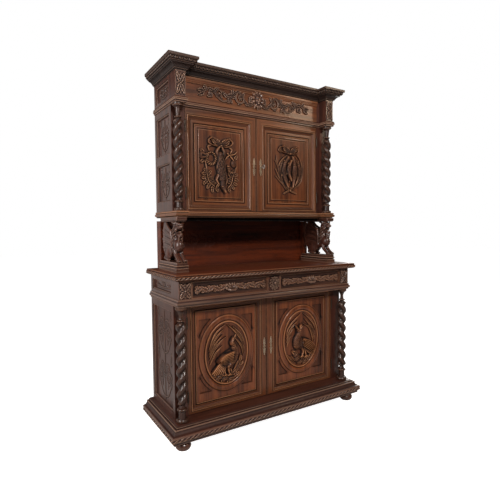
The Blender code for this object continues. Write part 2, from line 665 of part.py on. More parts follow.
def make_upper_sides():
    """Upper side frames with three panel openings, ending in the carved corner blocks."""
    middle = UPPER_FLOOR + UPPER_SIDE_MID_RAIL_RISE
    openings = ((UPPER_FLOOR + UPPER_SIDE_BOTTOM_RAIL, middle),
                (middle + UPPER_SIDE_MID_RAIL, UPPER_DOOR_TOP - SIDE_TOP_RAIL),
                (FRIEZE_BOTTOM + FRIEZE_PANEL_MARGIN, FRIEZE_TOP - FRIEZE_PANEL_MARGIN))
    bottom = UPPER_FLOOR + GAP
    top = FRIEZE_TOP - GAP
    for side, sign in SIDES:
        inner = UPPER_HALF - SIDE_THICKNESS
        frame = add_object(f"upper_side_frame_{side}",
                           side_box(sign, inner, UPPER_HALF, UPPER_FRONT, BACK, bottom, top), DARK_OAK)
        combine(frame, "UNION", side_box(sign, UPPER_OPENING, UPPER_HALF - PANEL_LAP, UPPER_FRONT,
                                         UPPER_FRONT + POST_DEPTH, bottom, top))
        combine(frame, "UNION", side_box(sign, UPPER_HALF - UPPER_BLOCK_WIDTH, UPPER_HALF, BLOCK_FACE,
                                         UPPER_FRONT + SIDE_STILE / 2, FRIEZE_BOTTOM + GAP, top))
        fill_side(frame, f"upper_side_panel_{side}", sign, UPPER_HALF, UPPER_FRONT, openings)


def make_upper_inside():
    """Back panel and shelf of the upper cupboard."""
    half = UPPER_HALF - SIDE_THICKNESS - GAP
    add_object("upper_back_panel", box((-half, BACK_PANEL_FACE, UPPER_FLOOR + GAP),
                                       (half, BACK - BACK_INSET, FRIEZE_TOP - GAP)), PLAIN_OAK)
    shelf = UPPER_FLOOR + UPPER_SHELF_RISE
    add_object("upper_shelf", box((-half, UPPER_FRONT + SHELF_SETBACK, shelf),
                                  (half, BACK_PANEL_FACE - GAP, shelf + SHELF_THICKNESS)), PLAIN_OAK)


def make_frieze():
    """The frieze board between the posts, with the moulding that runs below it and round the sides."""
    inner = UPPER_HALF + GAP

    def plan(share):
        outline = ressaut_outline(FRIEZE_MOULDING_REACH / 2 + share * FRIEZE_MOULDING_REACH / 2)
        behind = UPPER_FRONT - GAP
        return outline + [(inner, BACK), (inner, behind), (-inner, behind), (-inner, BACK)]

    bm = moulded(plan, FRIEZE_MOULDING_SHAPE, UPPER_DOOR_TOP, FRIEZE_MOULDING_HEIGHT)
    frieze = add_object("frieze", bm, WARM_OAK)
    half = UPPER_OPENING - GAP
    combine(frieze, "UNION", box((-half, FRIEZE_FACE, UPPER_DOOR_TOP + FRIEZE_MOULDING_HEIGHT / 2),
                                 (half, UPPER_FRONT + SIDE_STILE / 2, FRIEZE_TOP - GAP)))


def make_cornice():
    """The cornice with projecting ends, hollow underneath."""
    bm = moulded(lambda share: ressaut_outline(share * CORNICE_REACH), CORNICE_SHAPE,
                 FRIEZE_TOP, CORNICE_HEIGHT)
    cornice = add_object("cornice", bm, DARK_OAK)
    half = UPPER_OPENING
    pocket = box((-half, UPPER_FRONT + POST_DEPTH, FRIEZE_TOP - POCKET_ROOF),
                 (half, BACK_PANEL_FACE - POCKET_ROOF, CABINET_HEIGHT - POCKET_ROOF))
    combine(cornice, "DIFFERENCE", pocket)


def door_frame(bounds, front, sections):
    """A mitred frame; each section gives the bounds' insets and the depth behind the front plane."""
    loops = []
    for insets, depth in sections:
        loops.append(front_rectangle(shrink(bounds, insets), 0, front + depth))
    return loft(loops, ring=True)


def shrink(bounds, insets):
    """Draw in left, right, bottom and top bounds, each by its own inset."""
    return tuple(bound + way * inset for bound, way, inset in zip(bounds, (1, -1, 1, -1), insets))


def frame_sections(flats, moulding):
    """Section of a door frame: flat stiles, a bead, a slope to the inner flat, and the panel's rebate."""
    def inset(extra):
        return tuple(flat + extra for flat in flats)

    none = (0.0, 0.0, 0.0, 0.0)
    lip = PANEL_SEAT - DOOR_BEAD
    return ((none, DOOR_THICKNESS), (none, 0.0), (inset(0.0), 0.0), (inset(DOOR_BEAD / 2), -DOOR_BEAD),
            (inset(DOOR_BEAD_WIDTH), -DOOR_BEAD), (inset(moulding / 2), lip),
            (inset(moulding), lip), (inset(moulding), PANEL_SEAT),
            (inset(moulding - PANEL_REBATE), PANEL_SEAT), (inset(moulding - PANEL_REBATE), DOOR_THICKNESS))


def add_door(tier, side, sign, front, bounds, flats, moulding):
    """Add one door's pivot and frame, and return the pivot and the panel's bounds."""
    left, right, bottom, _ = bounds
    hinge_x = left - PLAY / 2 if sign < 0 else right + PLAY / 2
    pivot = add_pivot(f"{tier}_{side}_door_pivot", (hinge_x, front - HINGE_RADIUS - GAP, bottom))
    if sign > 0:
        flats = (flats[1], flats[0], *flats[2:])
    bm = door_frame(bounds, front, frame_sections(flats, moulding))
    frame = add_object(f"{tier}_{side}_door_frame", bm, WARM_OAK, pivot)
    seat = moulding - PANEL_REBATE + GAP
    return pivot, frame, shrink(bounds, [flat + seat for flat in flats])


def add_hinges(tier, side, pivot, bottom, top):
    """Two turned hinge barrels with ball ends, on the door's axis and against the post."""
    for place, z in (("lower", bottom + HINGE_FROM_END), ("upper", top - HINGE_FROM_END)):
        profile = [(HINGE_RADIUS * share, z + (rise - 0.5) * HINGE_LENGTH) for rise, share in HINGE_SHAPE]
        bm = turned(profile, pivot.location.x, pivot.location.y, HINGE_SIDES)
        add_object(f"{tier}_{side}_hinge_{place}", bm, STEEL, smooth=True)


def add_escutcheon(tier, side, pivot, x, front, z):
    """A tall plate with three swells and a keyhole, on the meeting stile."""
    upper = [(width * ESCUTCHEON_WIDTH / 2, rise * ESCUTCHEON_LENGTH / 2) for rise, width in ESCUTCHEON_SHAPE]
    right_edge = [(w, -h) for w, h in reversed(upper[1:])] + upper
    outline = right_edge + [(-w, h) for w, h in reversed(right_edge)]
    back = front - GAP
    loops = [[(x + w, y, z + h) for w, h in outline] for y in (back, back - ESCUTCHEON_THICKNESS)]
    plate = add_object(f"{tier}_{side}_escutcheon", loft(loops), PALE_BRASS, pivot)
    combine(plate, "DIFFERENCE", rod(x, z, back - 2 * ESCUTCHEON_THICKNESS, front + ESCUTCHEON_THICKNESS,
                                     KEY_RADIUS + GAP))


def make_lower_doors():
    """Lower doors with a raised oval ring on each panel."""
    bottom = DECK + DOOR_RISE
    top = LOWER_DOOR_TOP - DOOR_RISE
    for side, sign in SIDES:
        edge = LOWER_MEETING + sign * MEETING_GAP / 2
        left, right = sorted((sign * (LOWER_OPENING - PLAY), edge))
        meeting_stile = LEFT_MEETING_STILE if sign < 0 else RIGHT_MEETING_STILE
        flats = (LOWER_HINGE_STILE, meeting_stile, LOWER_DOOR_RAIL, LOWER_DOOR_RAIL)
        pivot, _, bounds = add_door("lower", side, sign, LOWER_FRONT, (left, right, bottom, top), flats,
                                    LOWER_DOOR_MOULDING)
        face = LOWER_FRONT + PANEL_SEAT + GAP
        plate = loft([front_rectangle(bounds, 0, face + PANEL_THICKNESS), front_rectangle(bounds, 0, face)])
        panel = add_object(f"lower_{side}_door_panel", plate, WARM_OAK, pivot)
        combine(panel, "UNION", oval_ring(bounds, face))
        add_hinges("lower", side, pivot, bottom, top)
        inset = LEFT_ESCUTCHEON_INSET if sign < 0 else RIGHT_ESCUTCHEON_INSET
        add_escutcheon("lower", side, pivot, edge + sign * inset, LOWER_FRONT, bottom + LOWER_ESCUTCHEON_RISE)


def oval_ring(bounds, face):
    """The oval moulding in the middle of a lower door panel."""
    left, right, bottom, top = bounds
    x = (left + right) / 2
    z = (bottom + top) / 2
    root = face + PANEL_THICKNESS / 2
    section = [(0.0, root)] + [(share, face - rise * OVAL_RISE) for share, rise in OVAL_SHAPE] + [(1.0, root)]
    half_width = OVAL_WIDTH / 2
    half_height = OVAL_HEIGHT / 2
    return loft([oval(x, z, half_width - share * OVAL_BAND, half_height - share * OVAL_BAND, y, OVAL_SIDES)
                 for share, y in section], ring=True)


def make_upper_doors():
    """Upper doors with fielded panels; the right one carries the lock and its key."""
    bottom = UPPER_FLOOR + DOOR_RISE
    top = UPPER_DOOR_TOP - DOOR_RISE
    key_z = bottom + UPPER_ESCUTCHEON_RISE
    for side, sign in SIDES:
        edge = UPPER_MEETING + sign * MEETING_GAP / 2
        left, right = sorted((sign * (UPPER_OPENING - PLAY), edge))
        meeting_stile = LEFT_MEETING_STILE if sign < 0 else RIGHT_MEETING_STILE
        flats = (UPPER_HINGE_STILE, meeting_stile, UPPER_BOTTOM_RAIL, UPPER_TOP_RAIL)
        pivot, frame, bounds = add_door("upper", side, sign, UPPER_FRONT, (left, right, bottom, top), flats,
                                        UPPER_DOOR_MOULDING)
        face = UPPER_FRONT + PANEL_SEAT + GAP
        border = PANEL_REBATE + FIELD_MARGIN
        plate = loft([front_rectangle(bounds, 0, face + PANEL_THICKNESS), front_rectangle(bounds, 0, face),
                      front_rectangle(bounds, border, face),
                      front_rectangle(bounds, border + FIELD_BEVEL, face - FIELD_RISE)])
        add_object(f"upper_{side}_door_panel", plate, WARM_OAK, pivot)
        add_hinges("upper", side, pivot, bottom, top)
        inset = LEFT_ESCUTCHEON_INSET if sign < 0 else RIGHT_ESCUTCHEON_INSET
        add_escutcheon("upper", side, pivot, edge + sign * inset, UPPER_FRONT, key_z)
        if sign < 0:
            cut_bolt_keeper(frame, edge, key_z)
        else:
            cut_lock(frame, edge, edge + inset, key_z)
            make_bolt(pivot, edge, key_z)
            make_key(pivot, edge + inset, key_z)


def bolt_box(edge, key_z, length, room, reach):
    """The bolt's space in a door edge: its section with some room, from the reach before the edge inwards."""
    front = UPPER_FRONT + LOCK_WALL - room
    bottom = key_z + BOLT_RISE - room
    low = (edge - reach, front, bottom)
    return box(low, (edge + length, front + BOLT_THICKNESS + 2 * room, bottom + BOLT_HEIGHT + 2 * room))


def cut_lock(frame, edge, key_x, key_z):
    """Cut the bolt's mortise, the keyhole and the space where the key's bit turns."""
    combine(frame, "DIFFERENCE", bolt_box(edge, key_z, BOLT_LENGTH + MEETING_GAP, GAP, MEETING_GAP))
    chamber = UPPER_FRONT + LOCK_WALL
    depth = chamber + BOLT_THICKNESS
    combine(frame, "DIFFERENCE", rod(key_x, key_z, UPPER_FRONT - DOOR_BEAD, depth, KEY_RADIUS + GAP))
    radius = KEY_BIT_HEIGHT + KEY_BIT_THICKNESS / 2
    combine(frame, "DIFFERENCE", rod(key_x, key_z, chamber, depth + GAP, radius))


def cut_bolt_keeper(frame, edge, key_z):
    """Cut the pocket in the left door's edge that the bolt is thrown into."""
    combine(frame, "DIFFERENCE", bolt_box(edge, key_z, MEETING_GAP, PLAY, BOLT_KEEPER_DEPTH))


def make_bolt(door_pivot, edge, key_z):
    """The lock bolt, drawn back into the right door's edge."""
    middle = UPPER_FRONT + LOCK_WALL + BOLT_THICKNESS / 2
    pivot = add_pivot("lock_bolt_slide", (edge, middle, key_z + BOLT_RISE))
    hang(pivot, door_pivot)
    bm = bolt_box(edge, key_z, BOLT_LENGTH, 0.0, -GAP)
    add_object("lock_bolt", bm, STEEL, pivot)


def make_key(door_pivot, x, z):
    """The key: a stem in the keyhole, a ring bow outside and a bit inside."""
    pivot = add_pivot("lock_key_axis", (x, UPPER_FRONT, z))
    hang(pivot, door_pivot)
    outer = UPPER_FRONT - KEY_OUT
    inner = UPPER_FRONT + LOCK_WALL + BOLT_THICKNESS - GAP
    key = add_object("lock_key", rod(x, z, outer, inner, KEY_RADIUS), STEEL, pivot)
    middle = Vector((x, outer - KEY_BOW_RADIUS + KEY_BOW_WIRE, z))
    rows = []
    for i in range(KEY_SIDES):
        turn = 2 * math.pi * i / KEY_SIDES
        out = Vector((0.0, math.cos(turn), math.sin(turn)))
        row = []
        for k in range(KEY_BOW_SIDES):
            wire = 2 * math.pi * k / KEY_BOW_SIDES
            offset = out * (KEY_BOW_RADIUS + KEY_BOW_WIRE * math.cos(wire))
            row.append(middle + offset + Vector((KEY_BOW_WIRE * math.sin(wire), 0.0, 0.0)))
        rows.append(row)
    combine(key, "UNION", loft(rows, ring=True))
    bit_front = UPPER_FRONT + LOCK_WALL + GAP
    half = KEY_BIT_THICKNESS / 2
    low = (x - half, bit_front, z - KEY_BIT_HEIGHT)
    combine(key, "UNION", box(low, (x + half, bit_front + KEY_BIT_LENGTH, z)))


def main():
    """Build every piece."""
    clear_scene()
    make_feet()
    make_plinth()
    make_lower_sides()
    make_lower_inside()
    make_drawer_moulding()
    make_drawers()
    make_buffet_top()
    make_lower_doors()
    make_columns()
    make_pedestals()
    make_griffins()
    make_niche_back()
    make_base_board()
    make_upper_sides()
    make_upper_inside()
    make_frieze()
    make_cornice()
    make_upper_doors()


main()
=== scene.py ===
"""Looks of a carved two-tier buffet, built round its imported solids.

Units are metres, +Z is up and the front faces -Y. Every piece rides on the body of the solid it dresses.
Carvings are height fields or sculpted solids, rows of small ornaments come from Geometry Nodes, and the
woods share node groups.
"""
from __future__ import annotations

import json
import logging
import math
from dataclasses import dataclass
from enum import Enum
from typing import Callable, Iterable, Sequence

import bpy
import numpy as np
from mathutils import Matrix, Vector

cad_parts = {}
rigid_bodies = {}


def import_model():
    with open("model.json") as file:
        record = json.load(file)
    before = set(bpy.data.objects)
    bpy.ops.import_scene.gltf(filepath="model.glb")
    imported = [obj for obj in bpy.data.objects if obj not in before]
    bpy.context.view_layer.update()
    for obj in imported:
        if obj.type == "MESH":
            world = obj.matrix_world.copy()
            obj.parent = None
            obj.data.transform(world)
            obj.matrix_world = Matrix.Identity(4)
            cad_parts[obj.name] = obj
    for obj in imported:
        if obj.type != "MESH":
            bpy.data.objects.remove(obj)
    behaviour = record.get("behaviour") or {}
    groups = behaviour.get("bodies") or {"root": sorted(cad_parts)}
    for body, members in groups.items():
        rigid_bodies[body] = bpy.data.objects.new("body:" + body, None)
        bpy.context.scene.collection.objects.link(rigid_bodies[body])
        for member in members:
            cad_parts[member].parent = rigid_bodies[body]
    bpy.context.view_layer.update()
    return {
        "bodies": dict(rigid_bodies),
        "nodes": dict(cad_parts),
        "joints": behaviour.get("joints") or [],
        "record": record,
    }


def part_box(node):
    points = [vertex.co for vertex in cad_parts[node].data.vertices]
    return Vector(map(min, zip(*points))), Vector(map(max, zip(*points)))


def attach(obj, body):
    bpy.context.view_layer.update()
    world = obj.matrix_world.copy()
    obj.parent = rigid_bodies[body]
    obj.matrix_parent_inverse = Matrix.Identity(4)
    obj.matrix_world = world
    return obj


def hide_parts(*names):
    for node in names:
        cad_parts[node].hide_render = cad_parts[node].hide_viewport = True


LOG = logging.getLogger("buffet")
Point = tuple[float, float]
Socket = bpy.types.NodeSocket
SIDES = (("left", -1.0), ("right", 1.0))
MM = 0.001
HAIR = 0.0003


class Grain(Enum):
    """Which way the grain of a board runs."""

    ACROSS = (0.05, 1.0, 1.0)
    DEEP = (1.0, 0.05, 1.0)
    UP = (1.0, 1.0, 0.05)


class Slot(Enum):
    """Material slots of the part's record."""

    DARK = "dark_oak"
    WARM = "warm_oak"
    PLAIN = "plain_oak"
    BRASS = "pale_brass"
    STEEL = "steel"


class NodeTree:
    """Short ways to add and join nodes in a tree."""

    def __init__(self, tree: bpy.types.NodeTree) -> None:
        """Wrap a tree."""
        self.tree = tree

    def add(self, kind: str, inputs: dict | None = None, **settings) -> bpy.types.Node:
        """Add a node.

        Args:
            kind: the node's type name.
            inputs: socket names or numbers, each with a value or with the socket that feeds it.
            settings: properties of the node.

        Returns:
            The node.
        """
        node = self.tree.nodes.new(kind)
        for name, value in settings.items():
            setattr(node, name, value)
        for name, value in (inputs or {}).items():
            if isinstance(value, bpy.types.NodeSocket):
                self.tree.links.new(value, node.inputs[name])
            else:
                node.inputs[name].default_value = value
        return node

    def math(self, operation: str, first, second=0.0, clamp: bool = False) -> Socket:
        """Add a Math node and return its output."""
        return self.add("ShaderNodeMath", {0: first, 1: second}, operation=operation,
                        use_clamp=clamp).outputs[0]

    def mix(self, factor, first, second, blend: str = "MIX") -> Socket:
        """Mix two colours and return the output.

        Args:
            factor: a value or a socket.
            first, second: a colour or a socket.
            blend: the way to mix.

        Returns:
            The output socket.
        """
        node = self.add("ShaderNodeMix", data_type="RGBA", blend_type=blend)
        for name, value in ((0, factor), (6, first), (7, second)):
            if isinstance(value, bpy.types.NodeSocket):
                self.tree.links.new(value, node.inputs[name])
            else:
                node.inputs[name].default_value = value
        return node.outputs[2]


def group_tree(name: str, kind: str, inputs: Sequence[tuple], outputs: Sequence[tuple]) -> tuple:
    """Make a node group with named sockets.

    Args:
        name: the group's name.
        kind: ShaderNodeTree or GeometryNodeTree.
        inputs: (name, socket type) pairs, with a default value third if there is one.
        outputs: (name, socket type) pairs.

    Returns:
        The wrapped tree, its input node and its output node.
    """
    tree = bpy.data.node_groups.new(name, kind)
    for spec in inputs:
        socket = tree.interface.new_socket(spec[0], in_out="INPUT", socket_type=spec[1])
        if len(spec) > 2:
            socket.default_value = spec[2]
    for spec in outputs:
        tree.interface.new_socket(spec[0], in_out="OUTPUT", socket_type=spec[1])
    nodes = NodeTree(tree)
    return nodes, nodes.add("NodeGroupInput"), nodes.add("NodeGroupOutput")


def grain_group() -> bpy.types.NodeTree:
    """Make the shared oak grain.

    Returns:
        A group that puts out the broad figure, the dark pores and a height for bumps.
    """
    nodes, given, result = group_tree(
        "OakGrain", "ShaderNodeTree",
        [("Vector", "NodeSocketVector"), ("Stretch", "NodeSocketVector"),
         ("Coarseness", "NodeSocketFloat", 24.0)],
        [("Figure", "NodeSocketFloat"), ("Pores", "NodeSocketFloat"), ("Height", "NodeSocketFloat")])
    place = nodes.add("ShaderNodeVectorMath", {0: given.outputs["Vector"], 1: given.outputs["Stretch"]},
                      operation="MULTIPLY").outputs[0]
    figure = nodes.add("ShaderNodeTexNoise",
                       {"Vector": place, "Scale": given.outputs["Coarseness"], "Detail": 5.0,
                        "Roughness": 0.62, "Distortion": 0.9}).outputs[0]
    fine = nodes.math("MULTIPLY", given.outputs["Coarseness"], 9.0)
    fibre = nodes.add("ShaderNodeTexNoise", {"Vector": place, "Scale": fine, "Detail": 3.0,
                                             "Roughness": 0.7}).outputs[0]
    pores = nodes.add("ShaderNodeMapRange", {0: fibre, 1: 0.52, 2: 0.70},
                      interpolation_type="SMOOTHSTEP").outputs[0]
    both = nodes.math("ADD", nodes.math("MULTIPLY", figure, 0.7), nodes.math("MULTIPLY", fibre, 0.3))
    ramp = nodes.add("ShaderNodeMapRange", {0: both, 1: 0.38, 2: 0.64}).outputs[0]
    height = nodes.math("SUBTRACT", figure, nodes.math("MULTIPLY", pores, 0.5))
    for name, socket in (("Figure", ramp), ("Pores", pores), ("Height", height)):
        nodes.tree.links.new(socket, result.inputs[name])
    return nodes.tree


def patina_and_light_group() -> bpy.types.NodeTree:
    """Make the shared masks of grime, rubbing and painted light and shade.

    Returns:
        A group that turns hollows, edges and some broad noise into masks of grime with painted shade, rubbed
        edges with painted highlights, and dulling.
    """
    nodes, given, result = group_tree(
        "Patina", "ShaderNodeTree",
        [("Vector", "NodeSocketVector"), ("Cavity", "NodeSocketFloat"), ("Wear", "NodeSocketFloat")],
        [("Dirt", "NodeSocketFloat"), ("Worn", "NodeSocketFloat"), ("Dull", "NodeSocketFloat")])
    broad = nodes.add("ShaderNodeTexNoise",
                      {"Vector": given.outputs["Vector"], "Scale": 5.0, "Detail": 4.0}).outputs[0]
    small = nodes.add("ShaderNodeTexNoise",
                      {"Vector": given.outputs["Vector"], "Scale": 60.0, "Detail": 3.0}).outputs[0]
    # Grime and painted shade: hollows go dark, broken up by fine noise.
    dirt = nodes.math("MULTIPLY", given.outputs["Cavity"], nodes.math("ADD", small, 0.5), clamp=True)
    # Rubbed edges and painted highlights: ridges go light, broken up by broad noise.
    worn = nodes.math("MULTIPLY", given.outputs["Wear"], nodes.math("ADD", broad, 0.3), clamp=True)
    dull = nodes.add("ShaderNodeMapRange", {0: broad, 1: 0.35, 2: 0.7}).outputs[0]
    for name, socket in (("Dirt", dirt), ("Worn", worn), ("Dull", dull)):
        nodes.tree.links.new(socket, result.inputs[name])
    return nodes.tree


@dataclass(frozen=True)
class WoodFinish:
    """A waxed oak: its colours, from the hollows, grimy and in painted shade, to the rubbed edges with their
    painted highlights, and its sheen.
    """

    slot: Slot
    deep: tuple
    base: tuple
    light: tuple
    worn: tuple
    roughness: float
    coat: float


@dataclass(frozen=True)
class MetalFinish:
    """A plain metal with some tarnish."""

    slot: Slot
    base: tuple
    tarnish: tuple
    roughness: float


Finish = WoodFinish | MetalFinish
DARK_OAK = WoodFinish(Slot.DARK, (0.0020, 0.0011, 0.0009), (0.025, 0.0080, 0.0052), (0.078, 0.0255, 0.0155),
                      (0.300, 0.180, 0.120), 0.34, 0.30)
# A darker oak for the cornice; part of its darkness is painted shade, as its front faces down and away from
# the light.
SHADED_BLACK_OAK = WoodFinish(Slot.DARK, (0.0012, 0.0007, 0.0006), (0.011, 0.0048, 0.0036), (0.034, 0.0155, 0.0110),
                       (0.130, 0.078, 0.054), 0.38, 0.20)
TURNED_OAK = WoodFinish(Slot.DARK, (0.0010, 0.0006, 0.0005), (0.013, 0.0046, 0.0028), (0.042, 0.0155, 0.0090),
                        (0.190, 0.100, 0.060), 0.36, 0.20)
WARM_OAK = WoodFinish(Slot.WARM, (0.0022, 0.0011, 0.0009), (0.030, 0.0086, 0.0038), (0.170, 0.0510, 0.0172),
                      (0.380, 0.185, 0.090), 0.36, 0.18)
SMOKED_OAK = WoodFinish(Slot.WARM, (0.0020, 0.0010, 0.0009), (0.028, 0.0098, 0.0056), (0.118, 0.0420, 0.0215),
                        (0.350, 0.190, 0.115), 0.35, 0.26)
AMBER_OAK = WoodFinish(Slot.WARM, (0.0022, 0.0011, 0.0009), (0.044, 0.0120, 0.0048), (0.230, 0.0650, 0.0205),
                       (0.420, 0.190, 0.085), 0.34, 0.22)
# A darker, redder oak for the top and the niche; part of its darkness is painted shade for the niche, which
# lies under the upper tier.
SHADED_RED_OAK = WoodFinish(Slot.WARM, (0.0016, 0.0007, 0.0005), (0.030, 0.0050, 0.0014), (0.122, 0.0215, 0.0046),
                     (0.200, 0.080, 0.034), 0.44, 0.08)
PLAIN_OAK = WoodFinish(Slot.PLAIN, (0.030, 0.018, 0.011), (0.115, 0.066, 0.038), (0.190, 0.120, 0.070),
                       (0.240, 0.160, 0.100), 0.68, 0.0)
PALE_BRASS = MetalFinish(Slot.BRASS, (0.50, 0.42, 0.31), (0.03, 0.022, 0.015), 0.28)
STEEL = MetalFinish(Slot.STEEL, (0.42, 0.40, 0.37), (0.07, 0.06, 0.05), 0.38)
DARK_IRON = MetalFinish(Slot.STEEL, (0.055, 0.042, 0.034), (0.015, 0.011, 0.009), 0.52)


class Finisher:
    """Makes each material once and hands it out."""

    def __init__(self) -> None:
        """Make the shared groups."""
        self.grain = grain_group()
        self.patina = patina_and_light_group()
        self.made: dict[tuple, bpy.types.Material] = {}

    def material(self, finish: Finish, grain: Grain) -> bpy.types.Material:
        """Find or make a material.

        Args:
            finish: the wood or the metal.
            grain: the way the wood's grain runs.

        Returns:
            The material.
        """
        key = (finish, grain)
        if key not in self.made:
            material = bpy.data.materials.new(f"{finish.slot.value}_{grain.name.lower()}")
            material.use_nodes = True
            nodes = NodeTree(material.node_tree)
            shader = material.node_tree.nodes["Principled BSDF"]
            place = nodes.add("ShaderNodeTexCoord").outputs["Object"]
            if isinstance(finish, WoodFinish):
                self.dress_wood(nodes, shader, place, finish, grain)
            else:
                self.dress_metal(nodes, shader, place, finish)
            self.made[key] = material
        return self.made[key]

    def dress_wood(self, nodes: NodeTree, shader: bpy.types.Node, place, finish: WoodFinish,
                   grain: Grain) -> None:
        """Lay grain, grime with painted shade, and rubbed edges with painted highlights over a Principled
        shader.

        Args:
            nodes: the material's tree.
            shader: its Principled node.
            place: the object coordinates.
            finish: the wood.
            grain: the way its grain runs.
        """
        oak = nodes.add("ShaderNodeGroup", node_tree=self.grain)
        patina = nodes.add("ShaderNodeGroup", node_tree=self.patina)
        nodes.tree.links.new(place, oak.inputs["Vector"])
        oak.inputs["Stretch"].default_value = grain.value
        oak.inputs["Coarseness"].default_value = 24.0
        nodes.tree.links.new(place, patina.inputs["Vector"])
        for name in ("Cavity", "Wear"):
            given = nodes.add("ShaderNodeAttribute", attribute_name=name.lower()).outputs["Fac"]
            nodes.tree.links.new(given, patina.inputs[name])
        colour = nodes.mix(oak.outputs["Figure"], (*finish.base, 1.0), (*finish.light, 1.0))
        pores = nodes.math("MULTIPLY", oak.outputs["Pores"], 0.74)
        colour = nodes.mix(pores, colour, (*finish.deep, 1.0))
        dull = nodes.math("MULTIPLY", patina.outputs["Dull"], 0.25)
        colour = nodes.mix(dull, colour, (*finish.base, 1.0))
        # Ridges are lightened towards the edge colour: rubbing and painted highlights.
        colour = nodes.mix(patina.outputs["Worn"], colour, (*finish.worn, 1.0))
        # Hollows are darkened towards the deep colour: grime and painted shade.
        colour = nodes.mix(patina.outputs["Dirt"], colour, (*finish.deep, 1.0))
        nodes.tree.links.new(colour, shader.inputs["Base Color"])
        rough = nodes.math("ADD", nodes.math("MULTIPLY", patina.outputs["Dull"], 0.14),
                           finish.roughness - 0.05)
        rough = nodes.math("ADD", rough, nodes.math("MULTIPLY", patina.outputs["Dirt"], 0.55), clamp=True)
        nodes.tree.links.new(rough, shader.inputs["Roughness"])
        bump = nodes.add("ShaderNodeBump",
                         {"Height": oak.outputs["Height"], "Strength": 0.25, "Distance": 0.0006})
        nodes.tree.links.new(bump.outputs[0], shader.inputs["Normal"])
        clean = nodes.math("SUBTRACT", 1.0, nodes.math("MULTIPLY", patina.outputs["Dirt"], 0.85))
        clean = nodes.math("SUBTRACT", clean, nodes.math("MULTIPLY", patina.outputs["Worn"], 0.6), clamp=True)
        nodes.tree.links.new(nodes.math("MULTIPLY", clean, finish.coat), shader.inputs["Coat Weight"])
        shader.inputs["Specular IOR Level"].default_value = 0.26
        shader.inputs["Coat Roughness"].default_value = 0.16

    def dress_metal(self, nodes: NodeTree, shader: bpy.types.Node, place, finish: MetalFinish) -> None:
        """Lay tarnish over a metallic Principled shader.

        Args:
            nodes: the material's tree.
            shader: its Principled node.
            place: the object coordinates.
            finish: the metal.
        """
        patina = nodes.add("ShaderNodeGroup", node_tree=self.patina)
        nodes.tree.links.new(place, patina.inputs["Vector"])
        given = nodes.add("ShaderNodeAttribute", attribute_name="cavity").outputs["Fac"]
        nodes.tree.links.new(given, patina.inputs["Cavity"])
        spots = nodes.add("ShaderNodeTexNoise", {"Vector": place, "Scale": 320.0, "Detail": 4.0}).outputs[0]
        spots = nodes.add("ShaderNodeMapRange", {0: spots, 1: 0.5, 2: 0.75, 4: 0.8}).outputs[0]
        colour = nodes.mix(spots, (*finish.base, 1.0), (*finish.tarnish, 1.0))
        colour = nodes.mix(patina.outputs["Dirt"], colour, (*finish.tarnish, 1.0))
        nodes.tree.links.new(colour, shader.inputs["Base Color"])
        rough = nodes.math("ADD", nodes.math("MULTIPLY", spots, 0.3), finish.roughness, clamp=True)
        nodes.tree.links.new(rough, shader.inputs["Roughness"])
        shader.inputs["Metallic"].default_value = 1.0


@dataclass
class Skin:
    """A mesh in the making: points with a cavity value each, and faces with a grain each."""

    points: np.ndarray
    faces: list
    cavity: np.ndarray | None = None
    paint: list | None = None

    def joined(self, other: Skin) -> Skin:
        """Put two skins in one.

        Args:
            other: the other skin.

        Returns:
            A skin with both sets of faces.
        """
        shift = len(self.points)
        faces = self.faces + [tuple(i + shift for i in face) for face in other.faces]
        cavity = np.concatenate([np.zeros(len(s.points)) if s.cavity is None else s.cavity for s in (self,
                other)])
        paint = sum((s.paint or [0] * len(s.faces) for s in (self, other)), [])
        return Skin(np.concatenate([self.points, other.points]), faces, cavity, paint)

    def moved(self, x: float = 0.0, y: float = 0.0, z: float = 0.0, mirror: bool = False) -> Skin:
        """Shift a skin, and mirror it in X first if asked.

        Args:
            x: shift along X.
            y: shift along Y.
            z: shift along Z.
            mirror: turn left into right.

        Returns:
            The moved skin.
        """
        points = self.points * np.array([-1.0 if mirror else 1.0, 1.0, 1.0]) + np.array([x, y, z])
        faces = [tuple(reversed(face)) for face in self.faces] if mirror else self.faces
        return Skin(points, faces, self.cavity, self.paint)


@dataclass(frozen=True)
class Plane:
    """An upright plane to carve on, seen from outside."""

    origin: tuple
    right: tuple

    def at(self, across, up, out) -> np.ndarray:
        """Find points by their place on the plane.

        Args:
            across: distances to the right of the origin.
            up: heights above the origin.
            out: distances in front of the plane.

        Returns:
            The points.
        """
        right = np.array(self.right, float)
        normal = np.cross(right, (0.0, 0.0, 1.0))
        across, up, out = np.broadcast_arrays(np.asarray(across, float), up, out)
        place = across[..., None] * right + out[..., None] * normal
        return np.array(self.origin, float) + place + up[..., None] * np.array([0.0, 0.0, 1.0])


def mitred(plane: Plane, bounds: Sequence[float], section: Iterable[tuple], ring: bool = True) -> Skin:
    """Run a section round a rectangle, with mitred corners.

    Args:
        plane: the plane that it lies on.
        bounds: left, right, bottom and top of the rectangle on the plane.
        section: (inset, rise) pairs from outside in; the inset is one value or one for each bound.
        ring: close the section on itself.

    Returns:
        The skin, with its upper and lower faces painted 1 and the upright ones 0.
    """
    rows = [np.append(np.broadcast_to(inset, 4), rise) for inset, rise in section]
    rows = refined(np.array(rows + rows[:1] if ring else rows))
    loops = []
    for row in rows[:-1] if ring else rows:
        left, right, bottom, top = (b + way * i for b, way, i in zip(bounds, (1, -1, 1, -1), row))
        loops.append(plane.at((left, right, right, left), (bottom, bottom, top, top), row[4]))
    # The section's hollows are darkened: grime and painted shade.
    dirt = hollows(rows[:, :4].mean(axis=1), rows[:, 4])
    skin = loft(loops, ring, False, dirt[:len(loops)])
    skin.paint = [1 - n % 2 for n in range(len(skin.faces))]
    return skin


